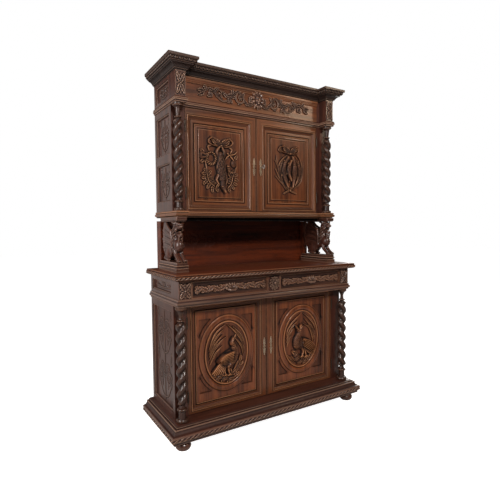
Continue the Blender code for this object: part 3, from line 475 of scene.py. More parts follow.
def refined(rows: np.ndarray, ends: float = 0.003, step: float = 0.03) -> np.ndarray:
    """Add points to the long edges of a section, close to their ends and between.

    Args:
        rows: the section's points.
        ends: distance of the first and last new point from the ends.
        step: longest edge left between them.

    Returns:
        The section with the new points.
    """
    result = [rows[0]]
    for a, b in zip(rows[:-1], rows[1:]):
        length = float(np.abs(b - a).max())
        if length > 3 * ends:
            inner = np.linspace(ends, length - ends, 2 + int((length - 2 * ends) / step))
            result += [a + (b - a) * t / length for t in inner]
        result.append(b)
    return np.array(result)


def hollows(place: np.ndarray, rise: np.ndarray, depth: float = 0.0035) -> np.ndarray:
    """Find the points of a section that lie in hollows.

    Args:
        place: how far each point is along the section.
        rise: how far each point stands out.
        depth: a hollow this deep counts in full.

    Returns:
        A value from 0 in the open to 1 in a hollow for each point.
    """
    over = rise[None, :] - rise[:, None] - 0.8 * np.abs(place[None, :] - place[:, None])
    before = np.clip(np.tril(over, -1).max(axis=1) / depth, 0, 1)
    after = np.clip(np.triu(over, 1).max(axis=1) / depth, 0, 1)
    return np.clip(np.minimum(before, after) + 0.36 * np.maximum(before, after), 0, 1)


def loft(loops: Sequence, ring: bool = False, caps: bool = True, dirt: np.ndarray | None = None) -> Skin:
    """Skin a row of loops that have equal numbers of points.

    Args:
        loops: the loops, each a list of points.
        ring: join the last loop to the first.
        caps: close the two ends, if it is no ring.
        dirt: how hollow each loop lies.

    Returns:
        The skin.
    """
    points = np.array(loops, dtype=float)
    rows, count = points.shape[:2]
    faces = []
    for i in range(rows if ring else rows - 1):
        a, b = i * count, (i + 1) % rows * count
        faces += [(a + k, a + (k + 1) % count, b + (k + 1) % count, b + k) for k in range(count)]
    if caps and not ring:
        faces.append(tuple(reversed(range(count))))
        faces.append(tuple(range((rows - 1) * count, rows * count)))
    return Skin(points.reshape(-1, 3), faces, None if dirt is None else np.repeat(dirt, count))


class Profile:
    """A moulding's section, drawn upwards as (height, reach) pairs."""

    def __init__(self, z: float, reach: float) -> None:
        """Start a section."""
        self.points: list[Point] = [(z, reach)]

    def line(self, z: float, reach: float) -> Profile:
        """Draw a straight edge."""
        self.points.append((z, reach))
        return self

    def curve(self, z: float, reach: float, bulge: float, steps: int = 7) -> Profile:
        """Draw a curved edge.

        Args:
            z: height of its end.
            reach: how far its end stands out.
            bulge: how much it swells, as a share of its length; negative for a hollow.
            steps: the number of short edges.

        Returns:
            The section.
        """
        z0, r0 = self.points[-1]
        dz, dr = z - z0, reach - r0
        cz = (z0 + z) / 2 - dr * bulge * 2
        cr = (r0 + reach) / 2 + dz * bulge * 2
        for i in range(1, steps + 1):
            t = i / steps
            self.points.append(((1 - t) ** 2 * z0 + 2 * t * (1 - t) * cz + t * t * z,
                                (1 - t) ** 2 * r0 + 2 * t * (1 - t) * cr + t * t * reach))
        return self


def moulding(plan: Callable[[float], list[Point]], section: Profile, bottom: float,
             inset: float = 0.0) -> Skin:
    """Run a section round a plan.

    Args:
        plan: gives the outline for a reach.
        section: the section.
        bottom: height of the section's foot.
        inset: width of the rim laid round each flat end, so that the rubbed edge and its painted highlight
            stay there.

    Returns:
        The skin.
    """
    rows = refined(np.array(section.points))
    spread = abs(plan(1.0)[0][0] - plan(0.0)[0][0])
    # The section's hollows are darkened: grime and painted shade.
    dirt = hollows(rows[:, 0], rows[:, 1] * spread)
    if inset:
        rims = np.array([(0.0, inset / spread), (0.0, 0.3 * inset / spread)])
        rows = np.vstack([rows[0] - rims, rows, rows[-1] - rims[::-1]])
        dirt = np.pad(dirt, 2)
    return loft([[(x, y, bottom + z) for x, y in plan(reach)] for z, reach in rows], dirt=dirt)


def turned(section: Iterable[Point], x: float, y: float, sides: int,
           shape: Callable[[np.ndarray, float], np.ndarray] | None = None) -> Skin:
    """Turn a section about an upright axis.

    Args:
        section: (height, radius) pairs from the bottom up.
        x, y: the axis.
        sides: number of sides.
        shape: gives a factor on the radius for the angles at a height.

    Returns:
        The skin.
    """
    angles = np.linspace(0, 2 * np.pi, sides, endpoint=False)
    # The section's hollows are darkened: grime and painted shade.
    loops, dirt = [], hollows(*np.array(list(section)).T)
    for z, radius in section:
        r = radius * (shape(angles, z) if shape else np.ones(sides))
        loops.append(np.stack([x + r * np.cos(angles), y + r * np.sin(angles), np.full(sides, z)], axis=1))
    skin = loft(loops, dirt=dirt)
    if shape:
        # The twist's creases are darkened by how far in they lie: grime and painted shade.
        reach = np.hypot(skin.points[:, 0] - x, skin.points[:, 1] - y)
        widest = np.repeat([radius for _, radius in section], sides)
        skin.cavity = np.clip(skin.cavity + 3.2 * (0.70 - reach / widest), 0, 1)
    return skin


class Workshop:
    """Turns skins into finished pieces that ride on the frame."""

    def __init__(self, frame: dict) -> None:
        """Set up the finishes."""
        self.frame = frame
        self.finisher = Finisher()

    def add(self, name: str, skin: Skin, body: str, finish: Finish,
            grains: Sequence[Grain] = (Grain.UP,), replaces: Sequence[str] = (), sharp: float = 32.0,
            worn: float = 1.0) -> bpy.types.Object:
        """Make a piece.

        Args:
            name: the piece's name.
            skin: its shape, in place.
            body: the body it rides on.
            finish: its finish.
            grains: the ways its grain runs, in the order of the skin's paint.
            replaces: the solids it stands for.
            sharp: edges over this angle, in degrees, stay sharp.
            worn: how strongly its edges are rubbed and lightened with painted highlights; 0 for coarse skins.

        Returns:
            The object.
        """
        mesh = bpy.data.meshes.new(name)
        mesh.from_pydata(skin.points.tolist(), [], skin.faces)
        mesh.shade_smooth()
        mesh.set_sharp_from_angle(angle=math.radians(sharp))
        for grain in grains:
            mesh.materials.append(self.finisher.material(finish, grain))
        if skin.paint and len(grains) > 1:
            mesh.polygons.foreach_set("material_index", skin.paint)
        if worn > 0:
            self.age(mesh, skin, worn)
        obj = bpy.data.objects.new(name, mesh)
        bpy.context.scene.collection.objects.link(obj)
        return self.fit(obj, body, replaces)

    def fit(self, obj: bpy.types.Object, body: str,
            replaces: Sequence[str] = ()) -> bpy.types.Object:
        """Hang a finished object on the frame.

        Args:
            obj: the object, in place.
            body: the body it rides on.
            replaces: the solids it stands for.

        Returns:
            The object.
        """
        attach(obj, body)
        if replaces:
            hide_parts(*replaces)
        LOG.info("%s: %d faces on %s", obj.name, len(obj.data.polygons), body)
        return obj

    @staticmethod
    def age(mesh: bpy.types.Mesh, skin: Skin, worn: float) -> None:
        """Store how rubbed and how grimy each point is, from how the surface bends there; the ridges also
        carry painted highlights and the hollows painted shade.

        Args:
            mesh: the mesh.
            skin: the skin it came from.
            worn: strength of the rubbed edges and their painted highlights.
        """
        count = len(mesh.vertices)
        normals = np.empty(count * 3, dtype=np.float32)
        mesh.vertex_normals.foreach_get("vector", normals)
        normals = normals.reshape(-1, 3)
        ends = np.empty(len(mesh.edges) * 2, dtype=np.int32)
        mesh.edges.foreach_get("vertices", ends)
        a, b = ends.reshape(-1, 2).T
        along = skin.points[b] - skin.points[a]
        squared = np.maximum((along ** 2).sum(axis=1), 1e-9)
        bend = np.zeros(count)
        tally = np.zeros(count)
        np.add.at(bend, a, -2 * (normals[a] * along).sum(axis=1) / squared)
        np.add.at(bend, b, 2 * (normals[b] * along).sum(axis=1) / squared)
        np.add.at(tally, a, 1)
        np.add.at(tally, b, 1)
        bend /= np.maximum(tally, 1)
        for _ in range(2):
            spread = bend.copy()
            np.add.at(spread, a, bend[b])
            np.add.at(spread, b, bend[a])
            bend = spread / (tally + 1)
        # Ridges get rubbing and painted highlights, hollows grime and painted shade, from how the surface
        # bends.
        wear = np.clip(bend / 150.0 - 0.12, 0, 1) * worn
        cavity = np.clip(-bend / 150.0, 0, 1)
        if skin.cavity is not None:
            cavity = np.clip(cavity * 0.6 + skin.cavity, 0, 1)
            wear *= np.clip(1.3 - cavity, 0, 1)
        for name, values in (("wear", wear), ("cavity", cavity)):
            layer = mesh.attributes.new(name, "FLOAT", "POINT")
            layer.data.foreach_set("value", values.astype(np.float32))

    def paint_solid(self, node: str, finish: Finish, grain: Grain, ease: float = 0.0015) -> None:
        """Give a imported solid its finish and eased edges.

        Args:
            node: the solid's name.
            finish: its finish.
            grain: the way its grain runs.
            ease: width of the eased edges.
        """
        obj = self.frame["nodes"][node]
        obj.data.materials.clear()
        obj.data.materials.append(self.finisher.material(finish, grain))
        if ease > 0:
            bevel = obj.modifiers.new("ease", "BEVEL")
            bevel.width = ease
            bevel.segments = 2
            bevel.limit_method = "ANGLE"
            bevel.angle_limit = math.radians(50)
        LOG.info("%s: finished as %s", node, finish.slot.value)


@dataclass
class Tier:
    """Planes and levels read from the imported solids."""

    half: float
    front: float
    face: float
    block: float
    back: float

    def stepped(self, reach: float) -> list[Point]:
        """Outline of the front and sides, broken forward over the corner blocks.

        Args:
            reach: how far it stands out.

        Returns:
            The outline, from the back left corner round to the back right one.
        """
        side = self.half + reach
        step = self.half - self.block - reach
        return [(-side, self.back), (-side, self.face - reach), (-step, self.face - reach),
                (-step, self.front - reach),
                (step, self.front - reach), (step, self.face - reach), (side, self.face - reach),
                (side, self.back)]


@dataclass
class TwistColumn:
    """A free-standing column with a turned base, a two-start twist and a capital."""

    x: float
    y: float
    bottom: float
    top: float
    radius: float
    hand: float
    base: float
    leafy: bool
    capital: float = 0.093
    pitch: float = 0.140
    notch: float = 0.44
    fullness: float = 2.8

    def skin(self) -> Skin:
        """Shape the column.

        Returns:
            The skin.
        """
        r, base, cap = self.radius, self.base, self.capital
        foot = Profile(0.0, 1.0 * r).curve(0.22 * base, 0.98 * r, 0.24).line(0.23 * base, 0.80 * r)
        foot.curve(0.30 * base, 0.68 * r, -0.2).line(0.66 * base, 0.66 * r).line(0.68 * base, 0.76 * r)
        foot.curve(0.84 * base, 0.76 * r, 0.4).line(0.86 * base, 0.62 * r).line(1.0 * base, 0.48 * r)
        head = Profile(0.0, 0.44 * r).line(0.04 * cap, 0.60 * r).curve(0.14 * cap, 0.60 * r, 0.5)
        head.line(0.16 * cap, 0.42 * r)
        if self.leafy:
            head.curve(0.80 * cap, 1.00 * r, -0.20, 18).line(0.81 * cap, 1.04 * r)
        else:
            head.line(0.60 * cap, 0.56 * r).curve(0.78 * cap, 0.92 * r, -0.18, 8).line(0.80 * cap, 1.02 * r)
            head.curve(0.90 * cap, 1.02 * r, 0.3)
        head.line(1.0 * cap, 1.04 * r)
        low, high = self.bottom + base, self.top - cap
        rows = [(self.bottom + z, radius) for z, radius in foot.points]
        steps = round((high - low) / 0.0022)
        rows += [(low + (high - low) * i / steps, r) for i in range(1, steps)]
        rows += [(high + z, radius) for z, radius in head.points]

        def shape(angles: np.ndarray, z: float) -> np.ndarray:
            if low < z < high:
                ends = min(1.0, (z - low) / 0.016, (high - z) / 0.016)
                turn = angles - self.hand * 2 * np.pi * (z - low) / self.pitch
                twist = 1.0 - self.notch * np.abs(np.sin(turn)) ** self.fullness
                return ends * twist + (1 - ends) * 0.46
            if self.leafy and high + 0.16 * cap < z < high + 0.80 * cap:
                share = (z - high - 0.16 * cap) / (0.64 * cap)
                lobes = np.abs(np.cos(angles * 2 + 0.25 * np.pi)) ** 0.5 + 0.25 * np.abs(np.cos(angles * 10))
                return 1.0 + 0.60 * math.sin(math.pi * min(1.0, 1.15 * share)) * (lobes - 0.90)
            return np.ones_like(angles)

        return turned(rows, self.x, self.y, 64, shape)


class Relief:
    """A carved height field over an upright rectangle."""

    def __init__(self, width: float, height: float, pitch: float, unit: float = 1.0) -> None:
        """Lay out the grid.

        Args:
            width: size along the rectangle.
            height: size up.
            pitch: distance between the grid's points.
            unit: the unit, in metres, of all that is carved into it.
        """
        self.pitch, self.unit = pitch, unit
        self.x = np.linspace(-width / 2, width / 2, round(width / pitch) + 1) / unit
        self.z = np.linspace(-height / 2, height / 2, round(height / pitch) + 1) / unit
        self.grid_x, self.grid_z = np.meshgrid(self.x, self.z, indexing="ij")
        self.h = np.zeros_like(self.grid_x)

    def window(self, points: np.ndarray, margin: float) -> tuple:
        """Find the part of the grid round some points.

        Args:
            points: the points.
            margin: room round them.

        Returns:
            The slices.
        """
        low, high = points.min(axis=0) - margin, points.max(axis=0) + margin
        i0, i1 = np.searchsorted(self.x, (low[0], high[0]))
        k0, k1 = np.searchsorted(self.z, (low[1], high[1]))
        return slice(i0, i1), slice(k0, k1)

    def near(self, path: np.ndarray, part: tuple) -> tuple:
        """Measure the distance to a path.

        Args:
            path: its points.
            part: the slices of the grid to measure in.

        Returns:
            The distance with its side as a sign, and the share of the path's length at the nearest point.
        """
        px, pz = self.grid_x[part], self.grid_z[part]
        best = np.full(px.shape, 1e9)
        share = np.zeros(px.shape)
        side = np.ones(px.shape)
        steps = np.diff(path, axis=0)
        lengths = np.maximum(np.hypot(*steps.T), 1e-9)
        starts = np.concatenate([[0.0], np.cumsum(lengths)])
        for i, (dx, dz) in enumerate(steps):
            ox, oz = px - path[i, 0], pz - path[i, 1]
            t = np.clip((ox * dx + oz * dz) / lengths[i] ** 2, 0, 1)
            gap = np.hypot(ox - t * dx, oz - t * dz)
            closer = gap < best
            best = np.where(closer, gap, best)
            share = np.where(closer, (starts[i] + t * lengths[i]) / starts[-1], share)
            side = np.where(closer, np.sign(ox * dz - oz * dx), side)
        return best * np.where(side == 0, 1, side), share

    def lift(self, part: tuple, bump: np.ndarray, blend: float = 0.0) -> None:
        """Raise the field to a bump where that is higher.

        Args:
            part: the slices of the grid.
            bump: heights there.
            blend: size of the soft join; 0 for a crisp one.
        """
        old = self.h[part]
        if blend > 0:
            mixed = np.clip(0.5 + 0.5 * (bump - old) / blend, 0, 1)
            soft = old + (bump - old) * mixed + blend * mixed * (1 - mixed)
            self.h[part] = np.where(bump > 0, soft, old)
        else:
            self.h[part] = np.maximum(old, bump)

    def blob(self, x: float, z: float, rx: float, rz: float, high: float, turn: float = 0.0,
             base: float = 0.0,
             blend: float = 0.0) -> None:
        """Raise a rounded mound.

        Args:
            x, z: its middle.
            rx: its half width.
            rz: its half height.
            high: its rise.
            turn: its tilt in degrees, anticlockwise.
            base: height that it stands on.
            blend: size of the soft join.
        """
        reach = max(rx, rz)
        part = self.window(np.array([[x, z]]), reach)
        c, s = math.cos(math.radians(turn)), math.sin(math.radians(turn))
        ox, oz = self.grid_x[part] - x, self.grid_z[part] - z
        inside = 1 - ((ox * c + oz * s) / rx) ** 2 - ((oz * c - ox * s) / rz) ** 2
        self.lift(part, np.where(inside > 0, base + high * np.sqrt(np.maximum(inside, 0)), 0), blend)

    def stroke(self, points: Sequence[Point], width: float | tuple, high: float,
               ribs: float = 0.0, hollow: float = 0.0, blend: float = 0.0) -> None:
        """Raise a rounded strand along a smooth path.

        Args:
            points: points that the path passes.
            width: half width, or (start, middle, end).
            high: its rise.
            ribs: number of slanted ribs across it.
            hollow: depth of a groove along its middle, as a share of the rise.
            blend: size of the soft join.
        """
        path = smooth_path(points)
        widths = (width, width, width) if isinstance(width, (int, float)) else width
        part = self.window(path, max(widths))
        d, t = self.near(path, part)
        w = np.interp(t, (0, 0.5, 1), widths)
        across = np.clip(np.abs(d) / np.maximum(w, 1e-6), 0, 1)
        rise = high * np.sqrt(1 - across ** 2)
        if ribs:
            rise = rise * (0.80 + 0.20 * np.cos(2 * np.pi * (ribs * t + 0.35 * d / np.maximum(w, 1e-6))))
        if hollow:
            rise = rise * (1 - hollow * np.exp(-(across / 0.35) ** 2))
        self.lift(part, np.where(across < 1, rise, 0), blend)

    def leaf(self, points: Sequence[Point], width: float, high: float, lobes: int = 4) -> None:
        """Raise a lobed leaf along a smooth path.

        Args:
            points: points that its rib passes, from the stalk.
            width: its greatest half width.
            high: its rise.
            lobes: number of lobes on each side.
        """
        path = smooth_path(points)
        part = self.window(path, width)
        d, t = self.near(path, part)
        outline = np.sin(np.pi * np.clip(t, 0.02, 0.985) ** 0.75) ** 0.6
        slant = lobes * t - 0.5 * np.abs(d) / width
        notch = np.abs(np.sin(np.pi * slant)) ** 0.5
        w = width * outline * (0.62 + 0.38 * notch)
        across = np.abs(d) / np.maximum(w, 1e-6)
        edge = np.sqrt(np.clip(1 - across ** 4, 0, 1))
        rise = high * edge * (1 - 0.35 * (1 - across) ** 2 * notch)
        rib = np.exp(-(d / (0.09 * width + 0.6 * MM / self.unit)) ** 2)
        rise = rise * (0.72 + 0.28 * notch) - 0.25 * high * rib
        self.lift(part, np.where(across < 1, np.maximum(rise, 0.15 * high), 0))

    def frond(self, x: float, z: float, angle: float, length: float, width: float, high: float,
              bend: float = 0.0,
              lobes: int = 4) -> None:
        """Raise a leaf that starts at a point and bends evenly.

        Args:
            x, z: start of its stalk.
            angle: direction at the start in degrees, anticlockwise from the right.
            length: its length.
            width: its greatest half width.
            high: its rise.
            bend: how far it turns along its length, in degrees.
            lobes: number of lobes on each side.
        """
        turns = np.radians(angle + bend * (np.arange(5) + 0.5) / 5)
        steps = length / 5 * np.stack([np.cos(turns), np.sin(turns)], axis=1)
        path = np.concatenate([[(x, z)], np.array([x, z]) + np.cumsum(steps, axis=0)])
        self.leaf(path, width, high, lobes)

    def volute(self, x: float, z: float, radius: float, hand: float, start: float, high: float) -> None:
        """Raise a leafy scroll with a flower in its eye.

        Args:
            x, z: its eye.
            radius: its outer radius.
            hand: 1 to wind in anticlockwise, -1 for clockwise.
            start: angle of its outer end in degrees.
            high: its rise.
        """
        turns = np.linspace(0, 1, 13)
        angles = np.radians(start) + hand * turns * 2 * np.pi * 1.25
        r = radius * (1 - 0.68 * turns)
        path = np.stack([x + r * np.cos(angles), z + r * np.sin(angles)], axis=1)
        for i in (2, 4, 6, 8):
            tangent = math.degrees(angles[i]) + hand * 68
            self.frond(*path[i], tangent, 0.95 * radius, 0.26 * radius, 0.8 * high, -hand * 70, 3)
        self.stroke(path, (0.15 * radius, 0.17 * radius, 0.10 * radius), high, hollow=0.3)
        self.blob(x, z, 0.24 * radius, 0.24 * radius, high)
        for k in range(6):
            a = 2 * np.pi * k / 6
            self.blob(x + 0.26 * radius * math.cos(a), z + 0.26 * radius * math.sin(a), 0.13 * radius,
                      0.13 * radius,
                      0.85 * high)

    def engrave(self, points: Sequence[Point], width: float, depth: float) -> None:
        """Cut a groove along a smooth path.

        Args:
            points: points that it passes.
            width: its half width.
            depth: its depth.
        """
        path = smooth_path(points)
        part = self.window(path, width)
        d, _ = self.near(path, part)
        self.h[part] -= depth * np.clip(1 - (d / width) ** 2, 0, 1)

    def scales(self, x: float, z: float, rx: float, rz: float, turn: float, pitch: float,
               depth: float) -> None:
        """Cut rows of feathers or scales into an oval part.

        Args:
            x, z: its middle.
            rx: its half width.
            rz: its half height.
            turn: its tilt in degrees; the scales point along its own downward axis.
            pitch: size of a scale.
            depth: depth of the cuts.
        """
        part = self.window(np.array([[x, z]]), max(rx, rz))
        c, s = math.cos(math.radians(turn)), math.sin(math.radians(turn))
        ox, oz = self.grid_x[part] - x, self.grid_z[part] - z
        u, v = ox * c + oz * s, oz * c - ox * s
        inside = np.clip((1 - (u / rx) ** 2 - (v / rz) ** 2) * 4, 0, 1)
        row = v / pitch
        shift = 0.5 * (np.floor(row) % 2)
        bow = 0.45 * np.cos(2 * np.pi * (u / pitch + shift)) - 0.45
        step = (row - bow) % 1.0
        self.h[part] -= depth * inside * (1 - step) ** 2

    def sheet(self, plane: Plane, across: float, up: float, back: float = 0.0, oval: Point | None = None,
              bare: bool = False, shade: Point = (0.0, 0.42)) -> Skin:
        """Turn the field into a skin.

        Args:
            plane: the plane that its ground lies on.
            across, up: where the middle of the field lies on the plane.
            back: depth of the rim behind the ground; 0 for none.
            oval: half width and half height of an oval to cut it to.
            bare: leave out the ground.
            shade: how much darker the ground and the carved part are coloured.

        Returns:
            The skin.
        """
        grid_x, grid_z, h = (values * self.unit for values in (self.grid_x, self.grid_z, self.h))
        front = plane.at(across + grid_x, up + grid_z, h).reshape(-1, 3)
        nx, nz = h.shape
        index = np.arange(nx * nz).reshape(nx, nz)
        quads = np.stack([index[:-1, :-1], index[1:, :-1], index[1:, 1:], index[:-1, 1:]],
                         axis=-1).reshape(-1, 4)
        # Points below the blurred field are darkened: grime and painted shade in the carving's hollows.
        near = (blurred(h, max(1, round(0.003 / self.pitch))) - h) / 0.0022
        wide = (blurred(h, max(1, round(0.009 / self.pitch))) - h) / 0.0090
        # The ground and the carved part are darkened by set amounts, by their height.
        height_tone = np.interp(h, (0.0, 0.004), shade)
        cavity = np.clip(np.maximum(near, wide) + height_tone, 0, 1).reshape(-1)
        if oval or bare:
            if oval:
                inside = ((grid_x / oval[0]) ** 2 + (grid_z / oval[1]) ** 2 < 1).reshape(-1)
                quads = quads[inside[quads].all(axis=1)]
            else:
                quads = quads[(h.reshape(-1)[quads] > HAIR).any(axis=1)]
            used, quads = np.unique(quads, return_inverse=True)
            return Skin(front[used], list(map(tuple, quads.reshape(-1, 4).tolist())), cavity[used])
        faces = list(map(tuple, quads.tolist()))
        if back > 0:
            rim = np.concatenate([index[:, 0], index[-1, 1:], index[-2::-1, -1], index[0, -2:0:-1]])
            behind = plane.at(across + grid_x, up + grid_z, -back).reshape(-1, 3)[rim]
            tail = np.arange(len(rim)) + nx * nz
            walls = np.stack([tail, np.roll(tail, -1), np.roll(rim, -1), rim], axis=-1)
            faces += [*map(tuple, walls.tolist())]
            front = np.concatenate([front, behind])
            cavity = np.concatenate([cavity, np.zeros(len(rim))])
        return Skin(front, faces, cavity)


def blurred(values: np.ndarray, reach: int) -> np.ndarray:
    """Average a grid over a square round each point, twice.

    Args:
        values: the grid.
        reach: half size of the square, in points.

    Returns:
        The blurred grid.
    """
    for axis in (0, 1, 0, 1):
        padded = np.pad(values, [(reach + 1, reach) if a == axis else (0, 0) for a in (0, 1)], mode="edge")
        total = np.cumsum(padded, axis=axis)
        size = values.shape[axis]
        high = np.take(total, np.arange(2 * reach + 1, 2 * reach + 1 + size), axis=axis)
        low = np.take(total, np.arange(size), axis=axis)
        values = (high - low) / (2 * reach + 1)
    return values


def smooth_path(points: Sequence[Point], steps: int = 8) -> np.ndarray:
    """Draw a smooth path through some points.

    Args:
        points: the points.
        steps: short edges between two of them.

    Returns:
        The path's points.
    """
    p = np.array(points, float)
    if len(p) < 3:
        return p
    p = np.concatenate([[2 * p[0] - p[1]], p, [2 * p[-1] - p[-2]]])
    t = np.linspace(0, 1, steps, endpoint=False)[:, None]
    path = []
    for a, b, c, d in zip(p, p[1:], p[2:], p[3:]):
        path.append(0.5 * (2 * b + (c - a) * t + (2 * a - 5 * b + 4 * c - d) * t ** 2
                           + (3 * b - a - 3 * c + d) * t ** 3))
    return np.concatenate([*path, p[-2:-1]])


class Sculpt:
    """A solid built of soft volumes on a grid, then skinned."""

    def __init__(self, low: Sequence[float], high: Sequence[float], pitch: float) -> None:
        """Lay out the grid.

        Args:
            low: the lowest corner.
            high: the highest corner.
            pitch: distance between the grid's points.
        """
        self.low, self.pitch = np.array(low, float), pitch
        axes = [np.arange(a, b + pitch, pitch) for a, b in zip(low, high)]
        self.x, self.y, self.z = np.meshgrid(*axes, indexing="ij")
        self.d = np.full(self.x.shape, 1.0)

    def join(self, shape: np.ndarray, blend: float) -> None:
        """Add a volume."""
        mixed = np.clip(0.5 + 0.5 * (self.d - shape) / blend, 0, 1)
        self.d = self.d + (shape - self.d) * mixed - blend * mixed * (1 - mixed)

    def ball(self, centre: Sequence[float], radii: Sequence[float], blend: float = 0.006, tilt: float = 0.0,
             cut: bool = False) -> None:
        """Add or cut a rounded volume.

        Args:
            centre: its middle.
            radii: its half sizes.
            blend: size of the soft join.
            tilt: its turn about X in degrees.
            cut: take it away.
        """
        c, s = math.cos(math.radians(tilt)), math.sin(math.radians(tilt))
        oy, oz = self.y - centre[1], self.z - centre[2]
        k = np.sqrt(((self.x - centre[0]) / radii[0]) ** 2 + ((oy * c + oz * s) / radii[1]) ** 2
                    + ((oz * c - oy * s) / radii[2]) ** 2)
        shape = (k - 1) * min(radii)
        if cut:
            self.d = np.maximum(self.d, -shape)
        else:
            self.join(shape, blend)

    def plank(self, outline: Sequence[Point], half: float, ease: float, blend: float) -> None:
        """Add a board that stands across X.

        Args:
            outline: its outline in Y and Z.
            half: half its thickness.
            ease: radius of its edges.
            blend: size of the soft join.
        """
        y, z = self.y[0], self.z[0]
        far, inside = np.full(y.shape, 1.0), np.zeros(y.shape, bool)
        for (ay, az), (by, bz) in zip(outline, [*outline[1:], outline[0]]):
            ey, ez = by - ay, bz - az
            t = np.clip(((y - ay) * ey + (z - az) * ez) / (ey ** 2 + ez ** 2), 0, 1)
            far = np.minimum(far, np.hypot(y - ay - t * ey, z - az - t * ez))
            inside ^= ((az > z) != (bz > z)) & (y < ey * (z - az) / (ez if ez else 1e-9) + ay)
        flat = np.where(inside, -far, far) + ease
        gap = np.abs(self.x) - half + ease
        apart = np.hypot(np.maximum(flat, 0), np.maximum(gap, 0))
        shape = np.minimum(np.maximum(flat, gap), 0) + apart - ease
        self.join(shape, blend)

    def limb(self, points: Sequence, radii: Sequence[float], blend: float = 0.005, flat: float = 1.0,
             cut: bool = False) -> None:
        """Add or cut a tapering limb along a row of points.

        Args:
            points: the points.
            radii: its radius at each point.
            blend: size of the soft join.
            flat: how much thinner it is along X.
            cut: take it away.
        """
        shape = np.full(self.d.shape, 1.0)
        for (p, q), (r0, r1) in zip(zip(points, points[1:]), zip(radii, radii[1:])):
            p, step = np.array(p, float), np.array(q, float) - np.array(p, float)
            ox, oy, oz = (self.x - p[0]) / flat, self.y - p[1], self.z - p[2]
            across = step[0] / flat
            size = across ** 2 + step[1] ** 2 + step[2] ** 2
            t = np.clip((ox * across + oy * step[1] + oz * step[2]) / size, 0, 1)
            gap = np.sqrt((ox - t * across) ** 2 + (oy - t * step[1]) ** 2 + (oz - t * step[2]) ** 2)
            shape = np.minimum(shape, (gap - (r0 + (r1 - r0) * t)) * min(1.0, flat))
        if cut:
            self.d = np.maximum(self.d, -shape)
        else:
            self.join(shape, blend)

    def skin(self) -> Skin:
        """Skin the volume with one point in each cell that its surface crosses.

        Returns:
            The skin.
        """
        d = np.pad(self.d, 1, constant_values=1.0)
        inside = d < 0
        shape = tuple(n - 1 for n in d.shape)
        total, tally = np.zeros(shape + (3,)), np.zeros(shape)

        def corner(array: np.ndarray, i: int, j: int, k: int) -> np.ndarray:
            return array[i:i + shape[0], j:j + shape[1], k:k + shape[2]]

        for axis in range(3):
            for u in (0, 1):
                for v in (0, 1):
                    first = [u, v]
                    first.insert(axis, 0)
                    second = list(first)
                    second[axis] = 1
                    a, b = corner(d, *first), corner(d, *second)
                    crossed = corner(inside, *first) != corner(inside, *second)
                    t = np.where(crossed, a / np.where(crossed, a - b, 1.0), 0.0)
                    for n in range(3):
                        total[..., n] += np.where(crossed, t if n == axis else first[n], 0.0)
                    tally += crossed
        live = tally > 0
        index = np.full(shape, -1)
        index[live] = np.arange(live.sum())
        cells = np.argwhere(live)
        points = self.low + (cells - 1 + total[live] / tally[live][:, None]) * self.pitch
        faces = []
        for axis in range(3):
            one = [slice(None)] * 3
            two = [slice(None)] * 3
            one[axis], two[axis] = slice(0, -1), slice(1, None)
            a, b = inside[tuple(one)], inside[tuple(two)]
            spots = np.argwhere(a != b)
            rising = a[tuple(spots.T)]
            u, v = [n for n in range(3) if n != axis]
            quad = []
            for du, dv in ((1, 1), (0, 1), (0, 0), (1, 0)):
                cell = spots.copy()
                cell[:, u] -= du
                cell[:, v] -= dv
                quad.append(index[tuple(cell.T)])
            quad = np.stack(quad, axis=-1)
            flip = rising if axis == 1 else ~rising
            quad[flip] = quad[flip][:, ::-1]
            faces += list(map(tuple, quad.tolist()))
        return Skin(points, faces)


def ornament_group() -> bpy.types.NodeTree:
    """Make the Geometry Nodes tree for rows of small carved ornaments.

    Returns:
        A tree that lays an ornament along each edge of a mesh, its X along the edge, and realises the row.
    """
    nodes, given, result = group_tree(
        "OrnamentRow", "GeometryNodeTree",
        [("Geometry", "NodeSocketGeometry"), ("Ornament", "NodeSocketObject"),
         ("Spacing", "NodeSocketFloat", 0.026),
         ("Vary", "NodeSocketFloat", 0.05), ("Seed", "NodeSocketInt", 1), ("Material", "NodeSocketMaterial")],
        [("Geometry", "NodeSocketGeometry")])
    path = nodes.add("GeometryNodeMeshToCurve", {0: given.outputs["Geometry"]}).outputs[0]
    path = nodes.add("GeometryNodeResampleCurve", {"Curve": path, "Length": given.outputs["Spacing"]},
                     mode="LENGTH").outputs[0]
    tangent = nodes.add("GeometryNodeInputTangent").outputs[0]
    turn = nodes.add("FunctionNodeAlignRotationToVector", {"Vector": tangent}, axis="X",
                     pivot_axis="Z").outputs[0]
    least = nodes.math("SUBTRACT", 1.0, given.outputs["Vary"])
    most = nodes.math("ADD", 1.0, given.outputs["Vary"])
    size = nodes.add("FunctionNodeRandomValue", {2: least, 3: most, "Seed": given.outputs["Seed"]},
                     data_type="FLOAT").outputs[1]
    ornament = nodes.add("GeometryNodeObjectInfo", {"Object": given.outputs["Ornament"]}).outputs["Geometry"]
    row = nodes.add("GeometryNodeInstanceOnPoints", {"Points": path, "Instance": ornament, "Rotation": turn,
                                                     "Scale": size}).outputs[0]
    row = nodes.add("GeometryNodeRealizeInstances", {0: row}).outputs[0]
    row = nodes.add("GeometryNodeSetMaterial",
                    {"Geometry": row, "Material": given.outputs["Material"]}).outputs[0]
    nodes.tree.links.new(row, result.inputs[0])
    return nodes.tree


